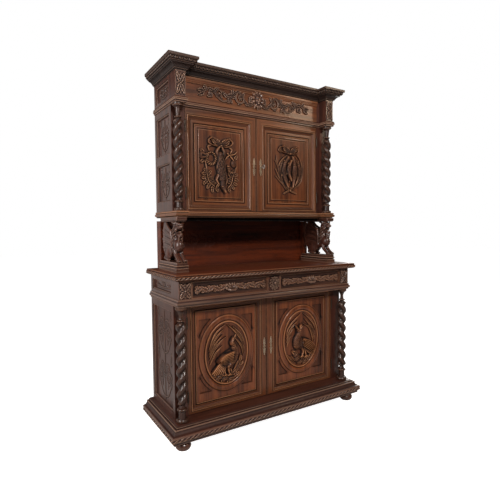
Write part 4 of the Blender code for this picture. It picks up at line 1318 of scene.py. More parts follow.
@dataclass
class OrnamentRow:
    """A row of small ornaments along straight runs."""

    name: str
    runs: list
    ornament: Skin
    spacing: float
    seed: int
    vary: float = 0.05

    def build(self, shop: Workshop, group: bpy.types.NodeTree, body: str,
              finish: WoodFinish) -> bpy.types.Object:
        """Make the row as a plain mesh.

        Args:
            shop: the workshop.
            group: the Geometry Nodes tree.
            body: the body it rides on.
            finish: its finish.

        Returns:
            The object.
        """
        pattern = bpy.data.meshes.new(f"{self.name}_pattern")
        pattern.from_pydata(self.ornament.points.tolist(), [], self.ornament.faces)
        pattern.shade_smooth()
        shop.age(pattern, self.ornament, 1.0)
        model = bpy.data.objects.new(pattern.name, pattern)
        bpy.context.scene.collection.objects.link(model)
        ends = [point for run in self.runs for point in run]
        mesh = bpy.data.meshes.new(self.name)
        mesh.from_pydata(ends, [(i, i + 1) for i in range(0, len(ends), 2)], [])
        obj = bpy.data.objects.new(self.name, mesh)
        bpy.context.scene.collection.objects.link(obj)
        modifier = obj.modifiers.new("row", "NODES")
        modifier.node_group = group
        values = {"Ornament": model, "Spacing": self.spacing, "Vary": self.vary, "Seed": self.seed,
                  "Material": shop.finisher.material(finish, Grain.ACROSS)}
        for item in group.interface.items_tree:
            if item.in_out == "INPUT" and item.name in values:
                modifier[item.identifier] = values[item.name]
        evaluated = obj.evaluated_get(bpy.context.evaluated_depsgraph_get())
        plain = bpy.data.meshes.new_from_object(evaluated)
        obj.modifiers.remove(modifier)
        obj.data = plain
        bpy.data.objects.remove(model, do_unlink=True)
        return shop.fit(obj, body)


def runs_round(outline: Sequence[Point], z: float, spacing: float) -> list:
    """Split an outline into straight runs that stop half a spacing short of its corners.

    Args:
        outline: the outline's points.
        z: height of the runs.
        spacing: distance between two ornaments.

    Returns:
        Pairs of end points.
    """
    runs = []
    for start, end in zip(outline, outline[1:]):
        a, b = Vector((*start, z)), Vector((*end, z))
        length = (b - a).length
        if length > 1.6 * spacing:
            trim = (b - a) * (0.5 * spacing / length)
            runs.append((tuple(a + trim), tuple(b - trim)))
    return runs


def leaf_tongue(width: float, height: float, rise: float) -> Skin:
    """Carve one small leaf for a row, hanging with its point down.

    Args:
        width: its width.
        height: its height.
        rise: how far it stands out.

    Returns:
        The skin, facing -Y.
    """
    field = Relief(width, height, width / 18)
    for way in (-1, 1):
        field.stroke([(way * 0.36 * width, 0.44 * height), (way * 0.27 * width, -0.05 * height),
                      (0.0, -0.46 * height)],
                     (0.08 * width, 0.16 * width, 0.06 * width), rise)
    field.blob(0.0, 0.22 * height, 0.11 * width, 0.28 * height, 0.9 * rise)
    return field.sheet(Plane((0.0, 0.0, 0.0), (1.0, 0.0, 0.0)), 0.0, 0.0)


def slant_leaf(width: float, height: float, rise: float) -> Skin:
    """Carve one slanted leaf for a rope-like row.

    Args:
        width: its width.
        height: its height.
        rise: how far it stands out.

    Returns:
        The skin, facing -Y.
    """
    field = Relief(width, height, width / 24)
    field.stroke([(-0.42 * width, -0.40 * height), (-0.10 * width, -0.16 * height),
                  (0.16 * width, 0.20 * height),
                  (0.44 * width, 0.40 * height)], (0.08 * width, 0.16 * width, 0.08 * width), rise)
    field.blob(0.27 * width, -0.24 * height, 0.14 * width, 0.17 * height, 0.6 * rise)
    return field.sheet(Plane((0.0, 0.0, 0.0), (1.0, 0.0, 0.0)), 0.0, 0.0)


def carve_strokes(f: Relief, strokes: Iterable[tuple], **settings) -> None:
    """Raise several strands."""
    for points, width, high in strokes:
        f.stroke(points, width, high, **settings)


def carve_fan(f: Relief, starts: tuple, middles: tuple, ends: tuple, count: int, width: tuple,
              high: float) -> None:
    """Raise a fan of feathers that lies between two outer ones.

    Args:
        f: the field.
        starts: roots of the first and last feather.
        middles: points halfway along them.
        ends: their tips.
        count: number of feathers.
        width: half width at root, middle and tip.
        high: rise of the first one; each next one lies a little lower.
    """
    for k in range(count):
        t = k / (count - 1)
        path = [tuple(np.array(a) * (1 - t) + np.array(b) * t) for a, b in (starts, middles, ends)]
        f.stroke(path, width, high * (1 - 0.05 * k))


def carve_bow(f: Relief, x: float, z: float, reach: float) -> None:
    """Carve the leafy loops of a bow.

    Args:
        f: the field.
        x, z: its knot.
        reach: length of a loop.
    """
    for angle, share, bend in ((172, 0.86, -50), (146, 1.0, -10), (116, 0.66, 30)):
        f.frond(x - 4, z + 2, angle, share * reach, 15, 18, bend, 4)
        f.frond(x + 4, z + 2, 180 - angle, share * reach, 15, 18, -bend, 4)


def carve_hare(f: Relief) -> None:
    """Carve a hare hung from a bow, with a horn, a flask and oak leaves.

    Args:
        f: the field.
    """
    for x, z, angle, length, bend in (
            (-100, -62, 118, 40, 30), (-104, -70, 165, 40, 20), (-100, -78, 40, 46, 20),
            (-108, -88, 200, 36, -10), (-96, -100, 20, 44, -20), (-98, -108, 215, 46, 20),
            (-82, -120, 20, 40, 20), (-80, -128, 230, 46, 20), (-60, -138, 60, 40, -20),
            (-58, -146, 250, 46, 30), (-40, -150, 300, 40, 0), (88, -68, 60, 44, 30),
            (98, -74, 20, 40, 20), (86, -82, 140, 42, -20), (104, -92, -20, 36, 20),
            (84, -104, 160, 44, 20), (94, -112, -40, 40, 10), (72, -124, 140, 36, 20),
            (78, -130, -50, 44, -10), (62, -142, -80, 44, -20), (-124, 70, 130, 34, 30),
            (-128, 46, 180, 30, 0), (-122, 24, 220, 34, -20), (112, 40, 70, 36, -30)):
        f.frond(x, z, angle, length, 15, 13, bend, 3)
    carve_strokes(f, (
        ([(-114, 16), (-106, -30), (-102, -66), (-86, -118), (-50, -146)], 5, 13),
        ([(100, -44), (92, -80), (78, -126), (58, -148)], 5, 13),
        ([(-60, 126), (-90, 112), (-86, 86)], (6, 8, 3), 12),
        ([(60, 122), (86, 104), (74, 78)], (6, 8, 3), 12),
        ([(126, 94), (104, 74), (60, 62), (26, 24)], (3, 5, 7), 15),
        ([(52, 78), (84, 50), (104, 26)], 5, 13)))
    carve_strokes(f, (
        ([(-6, 120), (-24, 152), (-52, 172), (-84, 160), (-88, 138), (-60, 124), (-14, 118)],
         (3, 5, 3), 20),
        ([(12, 120), (32, 154), (60, 172), (92, 152), (76, 130), (46, 118), (16, 116)],
         (3, 5, 3), 20)), hollow=0.2)
    carve_bow(f, 2, 122, 92)
    ring = [(-70 + 34 * math.cos(a), 36 + 38 * math.sin(a)) for a in np.linspace(2.5, 8.4, 16)]
    f.stroke(ring, (17, 11, 7), 17, ribs=16)
    f.stroke([(-100, 56), (-116, 50), (-132, 52)], (12, 18, 27), 19, hollow=0.4)
    f.stroke([(53, -12), (68, -46), (104, -46), (120, -10)], (14, 12, 5), 19, ribs=10)
    f.blob(100, 10, 22, 26, 16, 20)
    f.stroke([(-8, 118), (-28, 84), (-14, 46)], (8, 12, 20), 21, blend=3)
    f.stroke([(8, 116), (22, 80), (10, 44)], (8, 12, 20), 21, blend=3)
    f.stroke([(-4, 62), (0, 18), (6, -44), (10, -96)], (24, 40, 30), 29, blend=4)
    for x, z, lean, long in np.random.default_rng(11).uniform((-36, -94, -3, 6), (36, 54, 3, 13), (170, 4)):
        f.engrave([(x + 3, z), (x + 3 + lean, z - long)], 2.2, 1.9)
    carve_strokes(f, (([(-20, -74), (-34, -104), (-22, -130)], (14, 10, 8), 22),
                      ([(34, -74), (42, -106), (32, -132)], (14, 10, 8), 22)), blend=3)
    f.stroke([(10, -104), (15, -140), (28, -184)], (21, 22, 8), 29, blend=3)
    carve_strokes(f, (([(2, -120), (-22, -136), (-40, -164)], (7, 11, 3), 22),
                      ([(-2, -112), (-32, -120), (-58, -136)], (7, 10, 3), 19)), hollow=0.5)
    f.blob(6, -148, 4.2, 4.2, 6, base=24)
    f.blob(2, 120, 17, 14, 23)
    f.engrave([(-12, 126), (2, 116), (16, 126)], 2.2, 5)


def carve_fish(f: Relief) -> None:
    """Carve hanging fish in a wreath of reeds, under a bow.

    Args:
        f: the field.
    """
    blade = (3, 7, 2)
    carve_strokes(f, (
        ([(-131, 63), (-104, 16), (-90, -50), (-40, -140)], blade, 11),
        ([(-127, 0), (-108, -32), (-84, -74), (-30, -146)], blade, 13),
        ([(-126, -50), (-84, -86), (-45, -116), (-10, -150)], blade, 12),
        ([(-22, 110), (-66, 74), (-98, 26), (-88, -30)], blade, 14),
        ([(-30, 96), (-72, 44), (-82, -20), (-56, -110)], blade, 12),
        ([(66, 120), (102, 82), (116, 20), (100, -60), (30, -140)], blade, 13),
        ([(128, 20), (120, -40), (92, -100), (20, -148)], blade, 12),
        ([(60, 98), (98, 30), (94, -40), (50, -120)], blade, 11),
        ([(126, 74), (128, 30), (112, -20)], blade, 10),
        ([(-116, 100), (-112, 60), (-100, 30)], blade, 10)), hollow=0.3)
    for points, width, high, turn in (
            ([(20, 100), (84, 40), (88, -30), (50, -110)], (8, 17, 5), 18, -8),
            ([(-16, 92), (-46, 40), (-50, -30), (-20, -126)], (10, 23, 6), 21, 6),
            ([(26, 92), (46, 30), (44, -40), (24, -124)], (10, 27, 6), 25, -4),
            ([(10, 70), (-12, 22), (-14, -16), (8, -78)], (8, 19, 5), 28, 4)):
        f.stroke(points, width, high)
        (x, z), (tx, tz) = points[1], points[-1]
        f.scales(x, (z + tz) / 2 + 18, 0.95 * width[1], 52, turn, 9.5, 3)
        f.engrave([(x - width[1], z + 12), (x, z + 4), (x + width[1], z + 14)], 2.6, 6)
        f.blob(x - 0.3 * width[1], z + 26, 4, 4, 5, base=0.82 * high)
        f.frond(tx, tz + 14, -90 + turn - 24, 30, 9, 13, 0, 1)
        f.frond(tx, tz + 14, -90 + turn + 24, 30, 9, 13, 0, 1)
        f.frond(points[2][0] + (width[1] if tx > 15 else -width[1]), points[2][1] + 10, -90, 34, 8,
                0.8 * high, 0, 1)
    f.engrave([(18, 110), (16.5, 20), (17, -130)], 4.2, 16)
    carve_strokes(f, (
        ([(-4, 124), (-28, 152), (-60, 168), (-90, 158), (-80, 136), (-48, 126), (-8, 120)],
         (3, 5, 3), 19),
        ([(10, 124), (22, 152), (48, 170), (76, 156), (76, 134), (46, 122), (12, 118)],
         (3, 5, 3), 19),
        ([(-80, 158), (-98, 142), (-78, 124)], (6, 6, 2), 13),
        ([(-52, -172), (-10, -152), (34, -126)], (6, 7, 4), 16),
        ([(58, -170), (2, -152), (-34, -126)], (6, 7, 4), 17)), hollow=0.3)
    carve_bow(f, 4, 124, 84)
    f.blob(4, 122, 13, 11, 21)
    f.blob(2, -150, 10, 9, 20)
    np.maximum(f.h, 0.0, out=f.h)


def carve_ground(f: Relief, lumps: Iterable[tuple], fronds: Iterable[tuple]) -> None:
    """Carve rough ground with leaves.

    Args:
        f: the field.
        lumps: (x, z, half width, half height) of each stone.
        fronds: (x, z, angle, length, bend) of each leaf.
    """
    for x, z, rx, rz in lumps:
        f.blob(x, z, rx, rz, 20, 12)
        f.engrave([(x - 0.6 * rx, z - 0.3 * rz), (x, z + 0.2 * rz), (x + 0.6 * rx, z - 0.1 * rz)], 3, 5)
    for x, z, angle, length, bend in fronds:
        f.frond(x, z, angle, length, 16, 18, bend, 3)


def carve_pheasant(f: Relief) -> None:
    """Carve a pheasant that stands among reeds and looks up.

    Args:
        f: the field.
    """
    blade = (3, 8.5, 1.5)
    carve_strokes(f, (
        ([(-133, 30), (-104, 104), (-66, 155), (-12, 188)], blade, 13),
        ([(-131, 10), (-96, 86), (-58, 134), (-24, 158)], blade, 13),
        ([(-131, -10), (-92, 62), (-52, 104), (-34, 122)], blade, 13),
        ([(-128, -30), (-92, 34), (-50, 78), (-10, 106)], blade, 12),
        ([(-126, -60), (-88, 4), (-56, 34), (-34, 50)], blade, 11),
        ([(128, 20), (112, 66), (66, 128), (4, 184)], blade, 13),
        ([(133, 34), (122, 72), (92, 120), (44, 170)], blade, 12),
        ([(122, -36), (114, 14), (98, 46), (52, 98)], blade, 12),
        ([(130, -20), (126, 26), (108, 68), (80, 104)], blade, 11),
        ([(44, 66), (58, 92), (74, 124)], blade, 12)), hollow=0.3)
    carve_ground(f, ((-98, -142, 32, 17), (-60, -156, 36, 21), (-18, -172, 40, 22),
                     (24, -180, 36, 20), (-36, -142, 24, 14), (14, -152, 24, 16)),
                 ((34, -158, 52, 60, -30), (40, -166, 14, 56, 20), (-104, -142, 216, 40, 20),
                  (-74, -160, 250, 40, 20), (6, -176, 268, 34, 0), (-30, -166, 240, 36, 0),
                  (22, -146, 100, 40, -20)))
    f.leaf([(44, -134), (72, -104), (98, -62), (104, -24)], 18, 16, 2)
    f.leaf([(50, -140), (86, -106), (128, -76)], 15, 14, 2)
    carve_strokes(f, (([(8, -80), (4, -114), (14, -144)], (14, 7, 5), 22),
                      ([(-20, -86), (-24, -118), (-18, -142)], (14, 7, 5), 21)))
    for x, z in ((14, -142), (-18, -140)):
        for reach in (-16, 2, 20):
            f.stroke([(x, z), (x + 0.6 * reach, z - 8), (x + reach, z - 12)], (4, 4, 2), 26)
    carve_fan(f, ((-52, -54), (-4, -84)), ((-88, -90), (-26, -108)), ((-124, -128), (-40, -138)),
              6, (5.2, 6, 3), 27)
    f.blob(2, -38, 78, 46, 33, 38)
    f.stroke([(56, 20), (58, -22), (40, -62), (4, -88)], (20, 26, 18), 31, blend=5)
    f.scales(46, -30, 34, 56, -18, 11.5, 3.6)
    f.stroke([(50, 0), (46, 34), (36, 60)], (26, 21, 15), 33, blend=5)
    f.scales(46, 26, 22, 34, 8, 8.5, 2.8)
    f.engrave([(20, 44), (34, 38), (50, 46)], 4, 6)
    f.blob(33, 62, 17, 20, 35, -14, blend=3)
    f.stroke([(32, 68), (36, 84), (40, 102)], (13, 9, 1), 31)
    f.engrave([(34, 74), (37, 86), (40, 100)], 1.6, 6)
    f.blob(28, 66, 4.2, 4.2, 6, base=32)
    carve_fan(f, ((36, 6), (30, -66)), ((-34, -12), (-34, -66)), ((-82, -46), (-80, -54)),
              7, (4.6, 4.2, 1.6), 46)


def carve_partridge(f: Relief) -> None:
    """Carve a partridge that stands on a rock among reeds and looks back.

    Args:
        f: the field.
    """
    blade = (3, 8.5, 1.5)
    carve_strokes(f, (
        ([(-136, 40), (-118, 90), (-66, 142), (-4, 186)], blade, 13),
        ([(-134, 16), (-110, 68), (-66, 114), (-30, 140)], blade, 13),
        ([(-134, -10), (-110, 40), (-82, 74), (-66, 90)], blade, 12),
        ([(-130, -40), (-112, 8), (-92, 36)], blade, 11),
        ([(136, 50), (120, 96), (80, 142), (20, 188)], blade, 13),
        ([(132, 18), (110, 64), (76, 104), (32, 146)], blade, 13),
        ([(114, -54), (106, 4), (78, 72), (12, 116)], blade, 13),
        ([(126, -36), (120, 20), (98, 66), (66, 96)], blade, 12),
        ([(-128, -104), (-100, -132), (-66, -164)], blade, 12),
        ([(-98, -116), (-66, -144), (-28, -178)], blade, 13),
        ([(-124, -130), (-94, -158), (-54, -190)], blade, 12)), hollow=0.3)
    carve_ground(f, ((-52, -108, 22, 28), (-36, -140, 30, 32), (-8, -168, 34, 22),
                     (30, -176, 32, 18), (4, -140, 24, 20), (60, -160, 26, 18)),
                 ((12, -184, 96, 56, -20), (34, -184, 68, 60, -20), (60, -172, 50, 60, -10),
                  (72, -150, 40, 56, 10), (84, -132, 36, 52, 20), (-60, -104, 130, 36, 20)))
    carve_strokes(f, (([(0, -62), (12, -94), (4, -126)], (14, 7, 5), 22),
                      ([(24, -68), (32, -100), (40, -132)], (14, 7, 5), 21)))
    for x, z in ((4, -124), (40, -130)):
        for reach in (-20, -2, 16):
            f.stroke([(x, z), (x + 0.6 * reach, z - 8), (x + reach, z - 12)], (4, 4, 2), 26)
    carve_fan(f, ((44, -60), (30, -84)), ((82, -88), (58, -106)), ((122, -112), (92, -132)),
              5, (5, 5.6, 3), 26)
    f.blob(-16, -30, 56, 44, 33, -24)
    f.stroke([(-26, 52), (-34, 22), (-46, -8), (-44, -40)], (16, 27, 30), 34, blend=5)
    f.scales(-44, -14, 36, 56, 10, 11.5, 3.6)
    f.scales(-32, 34, 22, 28, 4, 8.5, 2.8)
    f.blob(-27, 68, 18, 18, 36, blend=3)
    f.stroke([(-34, 76), (-48, 92), (-64, 114)], (10, 7, 1), 30)
    f.engrave([(-38, 82), (-50, 96), (-62, 112)], 1.6, 6)
    carve_strokes(f, (([(-20, 82), (-16, 98), (-4, 110)], (6, 6, 1), 26),
                      ([(-14, 78), (-2, 90), (12, 96)], (6, 6, 1), 24)))
    f.blob(-32, 72, 4.2, 4.2, 6, base=33)
    carve_fan(f, ((20, -2), (0, -44)), ((72, -24), (46, -74)), ((122, -78), (88, -108)),
              6, (4.4, 4.6, 2), 45)
    arc = [(14 + 19 * math.cos(a), -22 + 19 * math.sin(a)) for a in np.linspace(0.6, 4.6, 9)]
    f.stroke(arc, (5, 8, 6), 43, ribs=8)


def carve_running_vine(f: Relief, half: float, clear: float) -> None:
    """Carve bold acanthus scrolls either side of a handle.

    Args:
        f: the field.
        half: half of its length.
        clear: half of the length left free for the handle.
    """
    for way in (-1, 1):
        xs = np.linspace(clear, half, 6)
        wave = [(way * x, 17 * (-1) ** i) for i, x in enumerate(xs)]
        f.stroke(wave, 5, 10, hollow=0.25)
        for i, (x, z) in enumerate(wave[:-1]):
            up = 1 if z < 0 else -1
            turn = up * 58 if way > 0 else 180 - up * 58
            f.frond(x, z, turn, 58, 17, 12, -up * way * 70, 4)
            f.frond(x, z, turn - up * way * 30, 44, 11, 11, -up * way * 20, 3)
            f.frond(x + way * 0.4 * (xs[1] - xs[0]), 0.2 * z, turn - up * way * 104, 34, 11, 10,
                    up * way * 50, 3)
        end = 0 if way > 0 else 180
        for angle in (-52, 0, 52):
            f.frond(way * (half - 26), 0.0, end + angle, 34, 10, 10, 0, 2)


def carve_cross_flower(f: Relief, half_width: float, half_height: float, high: float) -> None:
    """Carve four acanthus leaves to the corners, with smaller ones between.

    Args:
        f: the field.
        half_width: half the width to fill.
        half_height: half the height to fill.
        high: rise of the leaves.
    """
    diagonal = math.degrees(math.atan2(half_height, half_width))
    reach = math.hypot(half_width, half_height)
    for angle in (0, 180):
        f.frond(0, 0, angle, half_width, 0.34 * half_width, 0.6 * high, 0, 2)
    for angle in (90, -90):
        f.frond(0, 0, angle, half_height, 0.30 * half_width, 0.6 * high, 0, 2)
    for angle in (diagonal, 180 - diagonal, 180 + diagonal, -diagonal):
        f.frond(0, 0, angle, 0.98 * reach, 0.50 * half_width, high, 0, 3)
    f.blob(0, 0, 0.22 * half_width, 0.22 * half_width, 1.3 * high)


def carve_rosette(f: Relief, high: float) -> None:
    """Carve an oval rosette of leaves round a boss.

    Args:
        f: the field.
        high: its rise.
    """
    for ring, (rx, rz, count) in enumerate(((43, 50, 12), (30, 36, 8))):
        for k in range(count):
            a = 2 * np.pi * (k + 0.5 * ring) / count
            tip = np.array((rx * math.cos(a), rz * math.sin(a)))
            f.leaf([tip * 0.2, tip * 0.6, tip], 12, high * (0.75 + 0.35 * ring), 2)
    f.blob(0, 0, 13, 15, 1.7 * high)


def carve_scroll_panel(f: Relief, half_width: float, half_height: float, high: float) -> None:
    """Carve low scrolls that cover a panel on both sides of a stem.

    Args:
        f: the field.
        half_width: half the width to fill.
        half_height: half the height to fill.
        high: rise of the scrolls.
    """
    rows = max(1, round(half_height / half_width * 1.1))
    step = 2 * half_height / rows
    f.stroke([(0, -half_height), (0, 0), (0, half_height)], 0.005, high)
    for row in range(rows):
        z = -half_height + (row + 0.5) * step
        for way in (-1, 1):
            radius = min(0.36 * half_width, 0.40 * step)
            f.volute(way * 0.50 * half_width, z, radius, way, 0 if way > 0 else 180, high)
            f.stroke([(0, z - 0.45 * step), (way * 0.4 * half_width, z - 0.36 * step),
                      (way * 0.88 * half_width, z)],
                     0.005, high, hollow=0.3)
            for angle, length in ((50, 0.42), (10, 0.36), (-40, 0.34)):
                turn = angle if way > 0 else 180 - angle
                f.frond(way * 0.10 * half_width, z + 0.2 * step, turn, length * min(step, half_width),
                        0.13 * half_width,
                        high, -way * 40, 3)
            f.frond(way * 0.72 * half_width, z + 0.34 * step, 90 - way * 30, 0.30 * step, 0.12 * half_width,
                    high, way * 40, 3)


def carve_frieze(f: Relief, high: float) -> None:
    """Carve bold leafy scrolls out from the middle.

    Args:
        f: the field.
        high: rise of the scrolls.
    """
    for way in (-1, 1):
        stem = [(way * x, z) for x, z in ((30, -20), (60, -36), (90, -30), (150, 40), (190, 20),
                                          (225, -20), (262, -38), (300, -26), (330, 10), (372, 26),
                                          (420, 0))]
        f.stroke(stem, (10, 8, 6), 0.85 * high, hollow=0.25)
        f.volute(way * 138, -2, 43, -way, 90, 1.1 * high)
        f.volute(way * 300, 6, 30, way, -90, high)
        for x, z, angle, bend, size in ((52, -12, 62, 50, 1.0), (66, -22, 120, -60, 0.9),
                                        (70, -32, -20, 40, 0.8),
                                        (196, 14, 60, 60, 1.0), (204, 6, 10, -50, 1.1),
                                        (216, -8, -50, -40, 1.1),
                                        (228, -20, 200, 50, 0.9), (240, -12, 60, -60, 1.1),
                                        (336, 12, 100, 60, 0.9),
                                        (346, 16, 40, -50, 1.0), (352, 6, -60, 40, 1.2),
                                        (372, 10, -100, -40, 1.0),
                                        (392, 14, 50, 30, 1.0), (410, 6, 10, -20, 1.2),
                                        (412, -2, -40, 20, 1.1)):
            turn = angle if way > 0 else 180 - angle
            f.frond(way * x, z, turn, 42 * size, 15 * size, high, way * bend, 3)


def leaf_mask(x: float, y: float, z: float) -> Skin:
    """Sculpt a small calm mask in a wreath of leaves, of no one in particular.

    Args:
        x: its middle.
        y: the plane behind it.
        z: its middle.

    Returns:
        The skin.
    """
    mask = Sculpt((-0.056, -0.036, -0.066), (0.056, 0.004, 0.064), 0.0013)
    for way in (-1, 1):
        for points, radii in (([(0.0, -0.006, 0.026), (0.012, -0.016, 0.046), (0.018, -0.012, 0.058)],
                               (0.010, 0.009, 0.004)),
                              ([(0.012, -0.004, 0.020), (0.032, -0.012, 0.036), (0.040, -0.006, 0.046)],
                               (0.010, 0.010, 0.004)),
                              ([(0.016, -0.004, 0.006), (0.038, -0.012, 0.012), (0.050, -0.006, 0.020)],
                               (0.010, 0.010, 0.004)),
                              ([(0.014, -0.004, -0.012), (0.036, -0.012, -0.012), (0.046, -0.006, -0.020)],
                               (0.010, 0.010, 0.004)),
                              ([(0.008, -0.006, -0.026), (0.022, -0.014, -0.040), (0.028, -0.008, -0.054)],
                               (0.010, 0.009, 0.004)),
                              ([(0.000, -0.008, -0.028), (0.006, -0.016, -0.046), (0.002, -0.010, -0.062)],
                               (0.010, 0.008, 0.004))):
            mask.limb([(way * px, py, pz) for px, py, pz in points], radii, 0.0012)
    mask.ball((0.0, -0.010, 0.0), (0.024, 0.017, 0.033), 0.004)
    mask.limb([(0.0, -0.025, 0.012), (0.0, -0.031, -0.003)], (0.0034, 0.0056), 0.003)
    mask.ball((0.0, -0.022, -0.023), (0.008, 0.007, 0.007), 0.004)
    mask.limb([(-0.009, -0.0245, -0.0125), (0.0, -0.0275, -0.0118), (0.009, -0.0245, -0.0125)],
              (0.0022, 0.0032, 0.0022), 0.0015)
    for way in (-1, 1):
        mask.ball((way * 0.0095, -0.0265, 0.0055), (0.0062, 0.0050, 0.0044), cut=True)
        mask.ball((way * 0.0095, -0.0215, 0.0052), (0.0048, 0.0040, 0.0036), 0.0008)
        mask.limb([(way * 0.003, -0.0262, 0.0125), (way * 0.011, -0.0258, 0.0150),
                   (way * 0.019, -0.0200, 0.0120)],
                  (0.0030, 0.0032, 0.0020), 0.0020)
        mask.ball((way * 0.013, -0.0195, -0.006), (0.0080, 0.0070, 0.0080), 0.004)
    mask.d = np.maximum(mask.d, mask.y - 0.001)
    return mask.skin().moved(x, y, z)


def wrapped(outline: list[Point], inner: float, behind: float) -> list[Point]:
    """Close an outline along an inner edge, so that it runs round the front and sides only."""
    back = outline[0][1]
    return outline + [(inner, back), (inner, behind), (-inner, behind), (-inner, back)]


@dataclass
class Base:
    """Bun feet and the moulded plinth with its row of leaves."""

    reach: float = 0.054
    leaf_width: float = 0.034
    leaf_height: float = 0.0175
    leaf_level: float = 0.0345

    def build(self, shop: Workshop, rows: bpy.types.NodeTree) -> None:
        """Make the feet and the plinth.

        Args:
            shop: the workshop.
            rows: the tree for rows of ornaments.
        """
        for end in ("front", "back"):
            for side, _ in SIDES:
                node = f"foot_{end}_{side}"
                low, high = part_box(node)
                r, h = (high.x - low.x) / 2, high.z - low.z
                section = Profile(low.z, 0.74 * r).curve(low.z + 0.78 * h, 0.80 * r, 0.26, 14)
                section.line(low.z + 0.80 * h, 0.70 * r).line(low.z + 0.86 * h, 0.76 * r)
                section.line(high.z, 0.76 * r)
                middle = (low + high) / 2
                shop.add(f"{node}_turned", turned(section.points, middle.x, middle.y, 40), "cabinet",
                         DARK_OAK, replaces=[node])
        low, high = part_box("plinth")
        deck, front = high.x - self.reach, low.y + self.reach

        def plan(reach: float) -> list[Point]:
            side, face = deck + reach, front - reach
            return [(-side, high.y), (-side, face), (side, face), (side, high.y)]

        r = self.reach
        section = Profile(0.0, 0.72 * r).line(0.010, 0.72 * r).curve(0.0225, 0.97 * r, -0.14).line(0.0235, r)
        section.line(0.0245, r).line(0.025, 0.94 * r).line(0.0435, 0.94 * r).line(0.044, 0.98 * r)
        section.line(0.047, 0.98 * r)
        section.curve(0.0555, 0.82 * r, 0.16).line(0.056, 0.70 * r)
        section.curve(0.076, 0.42 * r, -0.10).line(0.0765, 0.45 * r).line(0.082, 0.45 * r)
        section.curve(0.0845, 0.38 * r, 0.2)
        section.line(0.085, 0.17 * r).curve(0.092, 0.12 * r, 0.35).line(0.0925, 0.05 * r)
        section.line(high.z - low.z, 0.0)
        shop.add("plinth_moulded", moulding(plan, section, low.z, 0.012), "cabinet", DARK_OAK,
                 (Grain.ACROSS,), ["plinth"])
        leaf = slant_leaf(self.leaf_width, self.leaf_height, 0.0046)
        runs = runs_round(plan(0.945 * r), low.z + self.leaf_level, self.leaf_width)
        OrnamentRow("plinth_leaves", runs, leaf, self.leaf_width, 3).build(shop, rows, "cabinet", DARK_OAK)


@dataclass
class Worktop:
    """The buffet top with its leafy nose, and the moulding under the drawers."""

    side_reach: float = 0.035
    front_reach: float = 0.046
    leaf_width: float = 0.0280
    leaf_height: float = 0.0145
    strip_reach: float = 0.010

    def build(self, shop: Workshop, rows: bpy.types.NodeTree) -> None:
        """Make the top and the moulding.

        Args:
            shop: the workshop.
            rows: the tree for rows of ornaments.
        """
        low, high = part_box("buffet_top")
        half, face = high.x - self.side_reach, low.y + self.front_reach

        def plan(share: float) -> list[Point]:
            side, front = half + share * self.side_reach, face - share * self.front_reach
            return [(-side, high.y), (-side, front), (side, front), (side, high.y)]

        section = Profile(0.0, 0.0).line(0.003, 0.02).curve(0.009, 0.42, -0.02).line(0.0095, 0.52)
        section.curve(0.0145, 0.88, 0.01)
        section.line(0.0145, 0.95).line(0.0295, 0.95).line(0.030, 1.0).line(0.032, 1.0).line(0.0325, 0.84)
        section.curve(0.041, 0.82, 0.22).line(high.z - low.z, 0.74)
        skin = moulding(plan, section, low.z, 0.012)
        shop.add("buffet_top_moulded", skin, "cabinet", SHADED_RED_OAK, (Grain.ACROSS,), ["buffet_top"])
        leaf = slant_leaf(self.leaf_width, self.leaf_height, 0.0038)
        runs = runs_round(plan(0.96), low.z + 0.0222, self.leaf_width)
        OrnamentRow("buffet_top_leaves", runs, leaf, self.leaf_width, 5).build(shop, rows, "cabinet",
                DARK_OAK)

        low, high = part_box("drawer_moulding")
        inner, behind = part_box("lower_side_frame_right")[1].x + HAIR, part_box("lower_left_door_frame")[0].y
        face, half = low.y + self.strip_reach, high.x - self.strip_reach
        back = high.y

        def strip(reach: float) -> list[Point]:
            side, front = half + reach, face - reach
            return wrapped([(-side, back), (-side, front), (side, front), (side, back)], inner, behind)

        r = self.strip_reach
        section = Profile(0.0, 0.0).line(0.005, 0.1 * r).curve(0.010, 0.40 * r, -0.2).line(0.0125, 0.42 * r)
        section.line(0.013, 0.75 * r).curve(0.0275, 0.75 * r, 0.18).line(0.028, 0.45 * r)
        section.curve(0.037, 0.30 * r, -0.1).line(high.z - low.z, 0.2 * r)
        shop.add("drawer_moulding_moulded", moulding(strip, section, low.z), "cabinet", DARK_OAK,
                 (Grain.ACROSS,),
                 ["drawer_moulding"])


